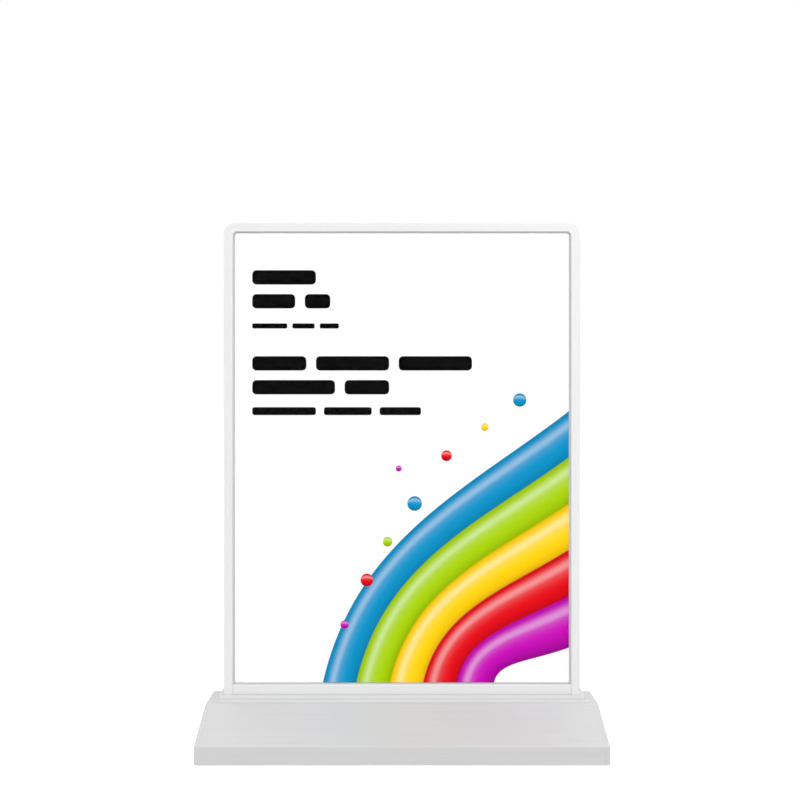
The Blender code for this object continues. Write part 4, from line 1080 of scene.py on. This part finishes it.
def make_panel_rim(sizes, material):
    """The U-shaped frame: one section led up the left side, over the top and down the right."""
    lines = []
    for x, top, radius in ((RIM_HIGH.x, RIM_HIGH.z, RIM_RADIUS), (OPENING_X, OPENING_TOP, OPENING_RADIUS)):
        corner = arc(radius, evenly(0.0, math.pi / 2, 24), (x - radius, top - radius))
        left = [(-x, RIM_LOW.z)] + [(-a, z) for a, z in corner]
        lines.append(left + [(-a, z) for a, z in reversed(left)])
    near = [(sizes.rim_edge - rise, RIM_LOW.y + inset) for inset, rise in quarter(sizes.rim_edge, 7)]
    outer_side = near + [(d, -y) for d, y in reversed(near)]
    # The outer side's points run from the front face round to the back, the inner side's return
    section = [("outer", d, y) for d, y in sorted(outer_side, key=lambda p: p[1])]
    back_again = [("inner", d, y) for _, d, y in reversed(section)]
    half = len(back_again) // 2
    groove = [("inner", 0.0, GROOVE_Y), ("inner", GROOVE_DEPTH, GROOVE_Y),
              ("inner", GROOVE_DEPTH, -GROOVE_Y), ("inner", 0.0, -GROOVE_Y)]
    section += back_again[:half] + groove + back_again[half:]
    # The outline's seam lies in the groove
    start = len(section) - half - 2
    section = section[start:] + section[:start]
    rings = []
    for (ox, oz), (ix, iz) in zip(*lines):
        span = math.hypot(ix - ox, iz - oz)
        ux, uz = (ix - ox) / span, (iz - oz) / span
        rings.append([
            (ox + ux * d, y, oz + uz * d) if side == "outer" else (ix - ux * d, y, iz - uz * d)
            for side, d, y in section
        ])
    new_piece("rim_extrusion", lofted(rings), material, "panel", ("panel_rim",))


def make_bottom_bar(sizes, name, side, material):
    """The bar across the foot of one face, with its screw holes, which are recessed in the front."""
    low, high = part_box(f"{name}_bottom_bar")
    top, step = high.z - BAR_TOP_DROP, low.z + BAR_STEP
    near, far = sorted((abs(low.y), abs(high.y)))
    inner, face, shelf, edge = side * near, side * far, side * BAR_SHELF_Y, sizes.bar_edge
    outline = rounded([
        (inner, low.z, 0.0), (face, low.z, edge), (face, top, edge),
        (shelf, top, 0.0), (shelf, step, 0.0), (inner, step, 0.0),
    ], 8)
    cutters = []
    for x in (-FOOT_SCREW_X, FOOT_SCREW_X):
        through = sorted((inner - side * OVERRUN, face + side * OVERRUN))
        cutters.append(rod(SCREW_HOLE, "Y", (x, FOOT_SCREW_Z), *through, 40))
        if side < 0:
            recess = sorted((face - side * RECESS_DEPTH, face + side * OVERRUN))
            cutters.append(rod(RECESS_RADIUS, "Y", (x, FOOT_SCREW_Z), *recess, 56))
    end = OPENING_X - 2 * SEATED
    new_piece(
        f"{name}_bar_extrusion", prism(outline, "X", -end, end), material, "panel",
        (f"{name}_bottom_bar",), cutters,
    )


def window(name, spare=0.0):
    """Left, right, lower and upper limits of a dressed cover, with spare room around it."""
    low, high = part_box(f"{name}_cover")
    side = COVER_SPARE + spare
    return (
        low.x - side, high.x + side, low.z - COVER_SPARE_BELOW - spare, high.z + COVER_SPARE_ABOVE + spare
    )


def make_gasket(sizes, name, side, material):
    """The rubber line round one window, with a rounded lip. Its grey is partly the rubber's own and partly
    painted shade, which stands in for the shade in the gap between rim and cover.
    """
    low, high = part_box(f"{name}_gasket")
    lip, squeezed = sizes.gasket_edge, GAP - SEATED
    back, front = sorted((low.y, high.y), key=abs)
    inner = window(name, SEATED)
    outer = (low.x - squeezed, high.x + squeezed, low.z - squeezed - BAR_TOP_DROP, high.z + squeezed)
    width = outer[1] - inner[1]

    def loop(share, y):
        """The rectangle that lies this share of the way from the outer line to the inner one."""
        limits = [o + (i - o) * share for o, i in zip(outer, inner)]
        return ring(rectangle(*limits, COVER_RADIUS + SEATED + width * (1 - share), 10), "Y", y)

    rounding = [(inset / width, front - side * (lip - rise)) for inset, rise in quarter(lip, 4)]
    rings = [loop(0.0, back)] + [loop(share, y) for share, y in rounding]
    rings += [loop(1.0 - share, y) for share, y in reversed(rounding)] + [loop(1.0, back)]
    new_piece(
        f"{name}_gasket_seal", lofted(rings, closed=True), material, "panel",
        (f"{name}_gasket",), angle=60,
    )


def make_cover(sizes, name, material, edge_material):
    """A clear window whose frosted edge is a narrow piece of its own around it."""
    low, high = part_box(f"{name}_cover")
    edge, band, sunk = sizes.cover_edge, sizes.cover_band, 0.01 * MM

    def loop(inset, y):
        return ring(rectangle(*window(name, -inset), COVER_RADIUS - inset, 10), "Y", y)

    # The clear part's own edge ends inside the frosted one
    clear = [loop(band - sunk, low.y + sunk), loop(band - sunk, high.y - sunk)]
    new_piece(
        f"{name}_window", lofted(clear), material, f"{name}_cover", (f"{name}_cover",)
    )
    rings = [loop(band, low.y)]
    rings += [loop(inset, low.y + edge - rise) for inset, rise in reversed(quarter(edge, 4))]
    rings += [loop(inset, high.y - edge + rise) for inset, rise in quarter(edge, 4)]
    rings.append(loop(band, high.y))
    new_piece(
        f"{name}_window_edge", lofted(rings, closed=True), edge_material, f"{name}_cover",
        angle=60,
    )


# Print


def bezier(points, t):
    """The point at t, from 0 to 1, on a cubic curve."""
    weights = ((1 - t) ** 3, 3 * t * (1 - t) ** 2, 3 * t**2 * (1 - t), t**3)
    return tuple(sum(weight * point[i] for weight, point in zip(weights, points)) for i in (0, 1))


def ribbon_edge(number, steps=64):
    """One line of the fan of ribbons, from the foot of the sheet to its right-hand margin."""
    right = SHEET_HIGH.x - PRINT_MARGIN
    foot, end, low_a, low_b, high_a, high_b = [(first + step * number) * MM for first, step in RIBBON_EDGES]
    points = (
        (foot, PRINT_LOW), (foot + low_a, PRINT_LOW + low_b), (right - high_a, end - high_b), (right, end)
    )
    return [bezier(points, t) for t in evenly(0.0, 1.0, steps)]


def both_edges(upper, middle):
    """An upper edge and its mirror image below the middle."""
    return upper, [(a, 2 * middle - b) for a, b in upper]


def dot_edges(a, b, radius, steps=32):
    """The upper and the lower edge of a dot, from left to right."""
    least = math.radians(4)
    return both_edges(arc(radius, evenly(math.pi - least, least, steps), (a, b)), b)


def word_edges(left, right, b, stroke):
    """The upper and the lower edge of a bar with rounded ends, which stands for a word."""
    radius, half = 0.3 * stroke, stroke / 2
    end = [(inset, half - radius + rise) for inset, rise in quarter(radius)]
    upper = [(left + a, b + rise) for a, rise in end] + [(right - a, b + rise) for a, rise in reversed(end)]
    return both_edges(upper, b)


def ink_band(side, upper, lower, layer=0):
    """A flat band of ink between two lines on the sheet's face; its map runs from 0 to 1 across it."""
    near = -SHEET_LOW.y + INK_LIFT + layer * INK_STEP
    far = near + INK_THICKNESS

    def place(point, depth):
        return (-side * point[0], side * depth, SHEET_LOW.z + point[1])

    bm = lofted([
        [place(a, near), place(b, near), place(b, far), place(a, far)] for a, b in zip(upper, lower)
    ])
    bm.verts.index_update()
    layer_map = bm.loops.layers.uv[GRAIN_MAP]
    for face in bm.faces:
        for corner in face.loops:
            station, place_in_ring = divmod(corner.vert.index, 4)
            corner[layer_map].uv = (station / len(upper), 1.0 if place_in_ring in (1, 2) else 0.0)
    return bm


def make_print(name, side, inks, black):
    """The generic print on one sheet: text lines as plain bars, a fan of ribbons, and dots."""
    words = []
    for height, stroke, widths in TEXT_LINES:
        left = TEXT_LEFT
        for width in widths:
            right = left + width * MM
            words.append(ink_band(side, *word_edges(left, right, height * MM, stroke * MM)))
            left = right + WORD_GAP * min(1.0, stroke / FULL_STROKE)
    new_piece(f"{name}_text_bars", gathered(words), black, "panel")
    for number, (ink_name, ink) in enumerate(zip(INKS, inks)):
        edges = [(ribbon_edge(number), ribbon_edge(number + RIBBON_BREADTH))]
        for *dot, colour in DOTS:
            if colour == number:
                edges.append(dot_edges(*[size * MM for size in dot]))
        bands = [ink_band(side, upper, lower, number) for upper, lower in edges]
        new_piece(f"{name}_ribbon_{ink_name}", gathered(bands), ink, "panel")


# Stage


def add_lamp(name, place, height, size, power, mirrored):
    """A square lamp that faces a point over the base, and shows in glossy surfaces if it is mirrored."""
    light = bpy.data.lights.new(name, "AREA")
    light.shape = "SQUARE"
    light.size = size
    light.energy = power
    lamp = placed_object(name, light)
    lamp.visible_glossy = mirrored
    lamp.location = place
    lamp.rotation_euler = (Vector((0.0, 0.0, height)) - lamp.location).to_track_quat("-Z", "Y").to_euler()


def make_camera():
    """A level camera in front of the panel, a little above its middle, as in the photograph."""
    camera = placed_object("camera", bpy.data.cameras.new("camera"))
    camera.location = CAMERA_PLACE
    camera.rotation_euler = (math.pi / 2, 0.0, 0.0)
    camera.data.sensor_width = 36.0
    camera.data.lens = CAMERA_LENS
    camera.data.clip_start = 0.01
    camera.data.clip_end = 100.0
    bpy.context.scene.camera = camera


def ray_kinds(tree):
    """One for rays from the camera or through glass, and one for those from a glossy surface."""
    path = add_node(tree, "ShaderNodeLightPath").outputs
    direct = add_node(
        tree, "ShaderNodeMath", links={0: path["Is Camera Ray"], 1: path["Is Transmission Ray"]},
        operation="MAXIMUM",
    )
    return direct.outputs["Value"], path["Is Glossy Ray"]


def make_world():
    """A white room that lights evenly, a little brighter above and on the right in reflections."""
    world = bpy.data.worlds.new("white_room")
    bpy.context.scene.world = world
    world.use_nodes = True
    tree = world.node_tree
    background = tree.nodes["Background"]
    direct, glossy = ray_kinds(tree)
    place = add_node(tree, "ShaderNodeTexCoord")
    parts = add_node(tree, "ShaderNodeSeparateXYZ", links={"Vector": place.outputs["Generated"]})
    horizon, zenith = ROOM_HORIZON - ROOM_LIGHT, ROOM_ZENITH - ROOM_LIGHT
    rise = add_node(
        tree, "ShaderNodeMapRange", {"From Min": 0.0, "From Max": 1.0, "To Min": horizon, "To Max": zenith},
        {"Value": parts.outputs["Z"]},
    )
    sideways = add_node(
        tree, "ShaderNodeMapRange",
        {"From Min": 0.0, "From Max": ROOM_GAIN_X, "To Min": 0.0, "To Max": ROOM_GAIN},
        {"Value": parts.outputs["X"]},
    )
    mirrored = add_node(
        tree, "ShaderNodeMath", links={0: sideways.outputs["Result"], 1: rise.outputs["Result"]},
        operation="ADD",
    )
    from_gloss = add_node(
        tree, "ShaderNodeMath", {2: ROOM_LIGHT}, {0: mirrored.outputs["Value"], 1: glossy},
        operation="MULTIPLY_ADD",
    )
    strength = add_node(
        tree, "ShaderNodeMath", {1: 1.0 - ROOM_LIGHT}, {0: direct, 2: from_gloss.outputs["Value"]},
        operation="MULTIPLY_ADD",
    )
    tree.links.new(strength.outputs["Value"], background.inputs["Strength"])
    background.inputs["Color"].default_value = WHITE


def make_floor():
    """A wide pale floor that reads white, and darkens only where the object shades it."""
    outline = rectangle(-FLOOR_HALF, FLOOR_HALF, -FLOOR_HALF, FLOOR_HALF, 0.0)
    bm = bmesh.new()
    bm.faces.new([bm.verts.new(point) for point in ring(outline, "Z", -FLOOR_DROP)])
    floor = bare_object("floor", bm)
    values = {"Specular IOR Level": 0.1, "Emission Color": WHITE}
    material, tree, shader = new_material("matt_painted_floor", linear("#E6E6E6"), 0.9, values)
    direct, glossy = ray_kinds(tree)
    from_gloss = add_node(
        tree, "ShaderNodeMath", {1: FLOOR_GLOW_MIRRORED}, {0: glossy}, operation="MULTIPLY"
    )
    strength = add_node(
        tree, "ShaderNodeMath", {1: FLOOR_GLOW}, {0: direct, 2: from_gloss.outputs["Value"]},
        operation="MULTIPLY_ADD",
    )
    tree.links.new(strength.outputs["Value"], shader.inputs["Emission Strength"])
    floor.data.materials.append(material)


# Operators


def settings(context):
    """The sizes and the colours that the panel shows."""
    return context.scene.light_box_sizes, context.scene.light_box_colours


def shared(make, name, *values):
    """A finish that several pieces have, made the first time that one asks for it."""
    return bpy.data.materials.get(name) or make(name, *values)


class LIGHTBOX_OT_stage(Operator):
    """Set up the camera, the white room, the floor and four large, dim lamps"""

    bl_idname = "lightbox.stage"
    bl_label = "Stage"

    def execute(self, context):
        make_camera()
        make_world()
        make_floor()
        for lamp in LAMPS:
            add_lamp(*lamp)
        context.scene.view_settings.view_transform = "Standard"
        return {"FINISHED"}


class LIGHTBOX_OT_base_shell(Operator):
    """Make the arched extrusion of the base"""

    bl_idname = "lightbox.base_shell"
    bl_label = "Base shell"

    def execute(self, context):
        sizes, colours = settings(context)
        metal = shared(brushed_anodised_aluminium, "brushed_anodised_base", colours.base_metal, 0.58)
        make_base_shell(sizes, metal)
        return {"FINISHED"}


class LIGHTBOX_OT_end_caps(Operator):
    """Make the two end caps of the base"""

    bl_idname = "lightbox.end_caps"
    bl_label = "End caps"

    def execute(self, context):
        sizes, colours = settings(context)
        metal = shared(blasted_anodised_aluminium, "blasted_anodised_cap", colours.base_metal)
        for name, side in ENDS:
            make_end_cap(sizes, name, side, metal)
        return {"FINISHED"}


class LIGHTBOX_OT_screws(Operator):
    """Make the screws that show"""

    bl_idname = "lightbox.screws"
    bl_label = "Screws"

    def execute(self, context):
        make_screws(shared(zinc_plated_steel, "bright_zinc_screw"))
        return {"FINISHED"}


class LIGHTBOX_OT_slot_collar(Operator):
    """Make the moulded collar that holds the panel's foot"""

    bl_idname = "lightbox.slot_collar"
    bl_label = "Slot collar"

    def execute(self, context):
        sizes, colours = settings(context)
        make_slot_collar(sizes, shared(moulded_abs, "silver_grey_abs_collar", colours.collar, 0.42))
        return {"FINISHED"}


class LIGHTBOX_OT_bottom_plate(Operator):
    """Make the plate under the base"""

    bl_idname = "lightbox.bottom_plate"
    bl_label = "Bottom plate"

    def execute(self, context):
        colours = settings(context)[1]
        make_bottom_plate(shared(moulded_abs, "grey_abs_plate", colours.plate))
        return {"FINISHED"}


class LIGHTBOX_OT_feet(Operator):
    """Make the four rubber feet"""

    bl_idname = "lightbox.feet"
    bl_label = "Rubber feet"

    def execute(self, context):
        sizes, colours = settings(context)
        make_feet(sizes, shared(moulded_rubber, "black_silicone_foot", colours.foot))
        return {"FINISHED"}


class LIGHTBOX_OT_light_strip(Operator):
    """Make the lamp strip at the bottom of the slot"""

    bl_idname = "lightbox.light_strip"
    bl_label = "Light strip"

    def execute(self, context):
        make_light_strip(
            shared(solder_mask, "white_solder_mask", linear("#EFEFEA")),
            shared(moulded_abs, "white_lamp_housing", linear("#F2F1EC"), 0.4),
            shared(phosphor, "lit_phosphor"),
            shared(plated_metal, "tinned_pad", linear("#C9CACC"), 0.3),
            shared(moulded_abs, "glazed_resistor", linear("#2A2A2C"), 0.3),
        )
        return {"FINISHED"}


class LIGHTBOX_OT_button(Operator):
    """Make the power button and its symbol"""

    bl_idname = "lightbox.button"
    bl_label = "Power button"

    def execute(self, context):
        sizes, colours = settings(context)
        white = shared(moulded_abs, "white_polycarbonate_button", colours.button, 0.35)
        make_button(sizes, white, shared(moulded_abs, "grey_pad_printed_symbol", colours.symbol, 0.5))
        return {"FINISHED"}


class LIGHTBOX_OT_charge_light(Operator):
    """Make the light pipe beside the button"""

    bl_idname = "lightbox.charge_light"
    bl_label = "Charge light"

    def execute(self, context):
        make_charge_light(shared(frosted_light_pipe, "frosted_light_pipe"))
        return {"FINISHED"}


class LIGHTBOX_OT_socket(Operator):
    """Make the charging socket"""

    bl_idname = "lightbox.socket"
    bl_label = "Charging socket"

    def execute(self, context):
        make_socket(
            shared(plated_metal, "nickel_plated_shell", linear("#C6C5C2"), 0.22),
            shared(moulded_abs, "black_lcp_tongue", linear("#1C1C1E"), 0.45),
            shared(plated_metal, "gold_flashed_contact", linear("#E2B65A"), 0.25),
        )
        return {"FINISHED"}


class LIGHTBOX_OT_inner_parts(Operator):
    """Give the parts inside the base their finishes, where the solids stay as they are"""

    bl_idname = "lightbox.inner_parts"
    bl_label = "Inner parts"

    def execute(self, context):
        for make, material, values, nodes in (
            (plated_metal, "mill_finish_aluminium_channel", ("#D2D3D5", 0.35), ("led_channel",)),
            (zinc_plated_steel, "zinc_plated_ballast", ("#A9ACB2",),
             ("front_ballast_bar", "rear_ballast_bar", "board_screw_1", "board_screw_2")),
            (solder_mask, "green_solder_mask", ("#1F6B3A",), ("control_board",)),
            (moulded_abs, "black_abs_tray", ("#2B2B2E",), ("battery_tray",)),
            (glossy_sleeve, "blue_shrink_sleeve", ("#2F62B4",), ("battery_cell_1", "battery_cell_2")),
            (glossy_sleeve, "red_lead_sheath", ("#B3201C",), ("battery_lead", "led_lead")),
            (moulded_abs, "natural_nylon_plug", ("#EDEAE0", 0.45), ("battery_plug", "led_plug")),
            (moulded_abs, "black_acetal_switch", ("#232325", 0.4), ("switch_body", "switch_plunger")),
        ):
            finish_nodes(shared(make, material, linear(values[0]), *values[1:]), *nodes)
        return {"FINISHED"}


class LIGHTBOX_OT_panel_rim(Operator):
    """Make the rim around three sides of the panel"""

    bl_idname = "lightbox.panel_rim"
    bl_label = "Panel rim"

    def execute(self, context):
        sizes, colours = settings(context)
        metal = shared(brushed_anodised_aluminium, "brushed_anodised_panel", colours.panel_metal, 0.45)
        make_panel_rim(sizes, metal)
        return {"FINISHED"}


class LIGHTBOX_OT_bottom_bars(Operator):
    """Make the two bars across the panel's foot"""

    bl_idname = "lightbox.bottom_bars"
    bl_label = "Bottom bars"

    def execute(self, context):
        sizes, colours = settings(context)
        metal = shared(brushed_anodised_aluminium, "brushed_anodised_panel", colours.panel_metal, 0.45)
        for name, side in FACES:
            make_bottom_bar(sizes, name, side, metal)
        return {"FINISHED"}


class LIGHTBOX_OT_gaskets(Operator):
    """Make the rubber lines around the two windows"""

    bl_idname = "lightbox.gaskets"
    bl_label = "Gaskets"

    def execute(self, context):
        sizes, colours = settings(context)
        # Grey rubber, darker than the rim, so that it also gives the painted shade of the gap round the
        # window
        rubber = shared(moulded_rubber, "grey_epdm_gasket", colours.gasket)
        for name, side in FACES:
            make_gasket(sizes, name, side, rubber)
        return {"FINISHED"}


class LIGHTBOX_OT_covers(Operator):
    """Make the two clear covers"""

    bl_idname = "lightbox.covers"
    bl_label = "Covers"

    def execute(self, context):
        clear = shared(cast_acrylic, "clear_cast_acrylic")
        frosted = shared(sawn_acrylic_edge, "sawn_acrylic_edge")
        for name, _ in FACES:
            make_cover(settings(context)[0], name, clear, frosted)
        return {"FINISHED"}


class LIGHTBOX_OT_lit_layers(Operator):
    """Give the light guide, the diffusers and the bare sheets their finishes"""

    bl_idname = "lightbox.lit_layers"
    bl_label = "Lit layers"

    def execute(self, context):
        film = shared(backlit_film, "backlit_film", settings(context)[1].film)
        finish_nodes(shared(dotted_light_guide, "dotted_acrylic_guide"), "light_guide")
        finish_nodes(shared(opal_acrylic, "opal_acrylic"), "front_diffuser", "rear_diffuser")
        finish_nodes(film, "front_sheet", "rear_sheet")
        return {"FINISHED"}


class LIGHTBOX_OT_print(Operator):
    """Print a generic design on both sheets: plain bars for text, and a fan of ribbons"""

    bl_idname = "lightbox.print"
    bl_label = "Generic print"

    def execute(self, context):
        colours = settings(context)[1]
        inks = [
            shared(pigment_ink, f"{name}_pigment_ink", getattr(colours, f"{name}_ink")) for name in INKS
        ]
        black = shared(pigment_ink, "black_pigment_ink", colours.black_ink, False)
        for name, side in FACES:
            make_print(name, side, inks, black)
        return {"FINISHED"}


OPERATORS = (
    LIGHTBOX_OT_stage,
    LIGHTBOX_OT_base_shell,
    LIGHTBOX_OT_end_caps,
    LIGHTBOX_OT_screws,
    LIGHTBOX_OT_slot_collar,
    LIGHTBOX_OT_bottom_plate,
    LIGHTBOX_OT_feet,
    LIGHTBOX_OT_light_strip,
    LIGHTBOX_OT_button,
    LIGHTBOX_OT_charge_light,
    LIGHTBOX_OT_socket,
    LIGHTBOX_OT_inner_parts,
    LIGHTBOX_OT_panel_rim,
    LIGHTBOX_OT_bottom_bars,
    LIGHTBOX_OT_gaskets,
    LIGHTBOX_OT_covers,
    LIGHTBOX_OT_lit_layers,
    LIGHTBOX_OT_print,
)


class LIGHTBOX_PT_pieces(Panel):
    """Sizes, colours and makers of the light box's pieces"""

    bl_idname = "LIGHTBOX_PT_pieces"
    bl_label = "Desk light box"
    bl_space_type = "VIEW_3D"
    bl_region_type = "UI"
    bl_category = "Light box"

    def draw(self, context):
        for group in settings(context):
            column = self.layout.column(align=True)
            for name in group.bl_rna.properties.keys():
                if name not in ("rna_type", "name"):
                    column.prop(group, name)
        column = self.layout.column(align=True)
        for operator in OPERATORS:
            column.operator(operator.bl_idname)


CLASSES = (LightBoxSizes, LightBoxColours, *OPERATORS, LIGHTBOX_PT_pieces)


def register():
    for cls in CLASSES:
        bpy.utils.register_class(cls)
    bpy.types.Scene.light_box_sizes = PointerProperty(type=LightBoxSizes)
    bpy.types.Scene.light_box_colours = PointerProperty(type=LightBoxColours)


def unregister():
    del bpy.types.Scene.light_box_colours
    del bpy.types.Scene.light_box_sizes
    for cls in reversed(CLASSES):
        bpy.utils.unregister_class(cls)


def main():
    """Makes every piece in order."""
    register()
    for operator in OPERATORS:
        name = operator.bl_idname.split(".")[1]
        getattr(bpy.ops.lightbox, name)()


if __name__ == "__main__":
    main()
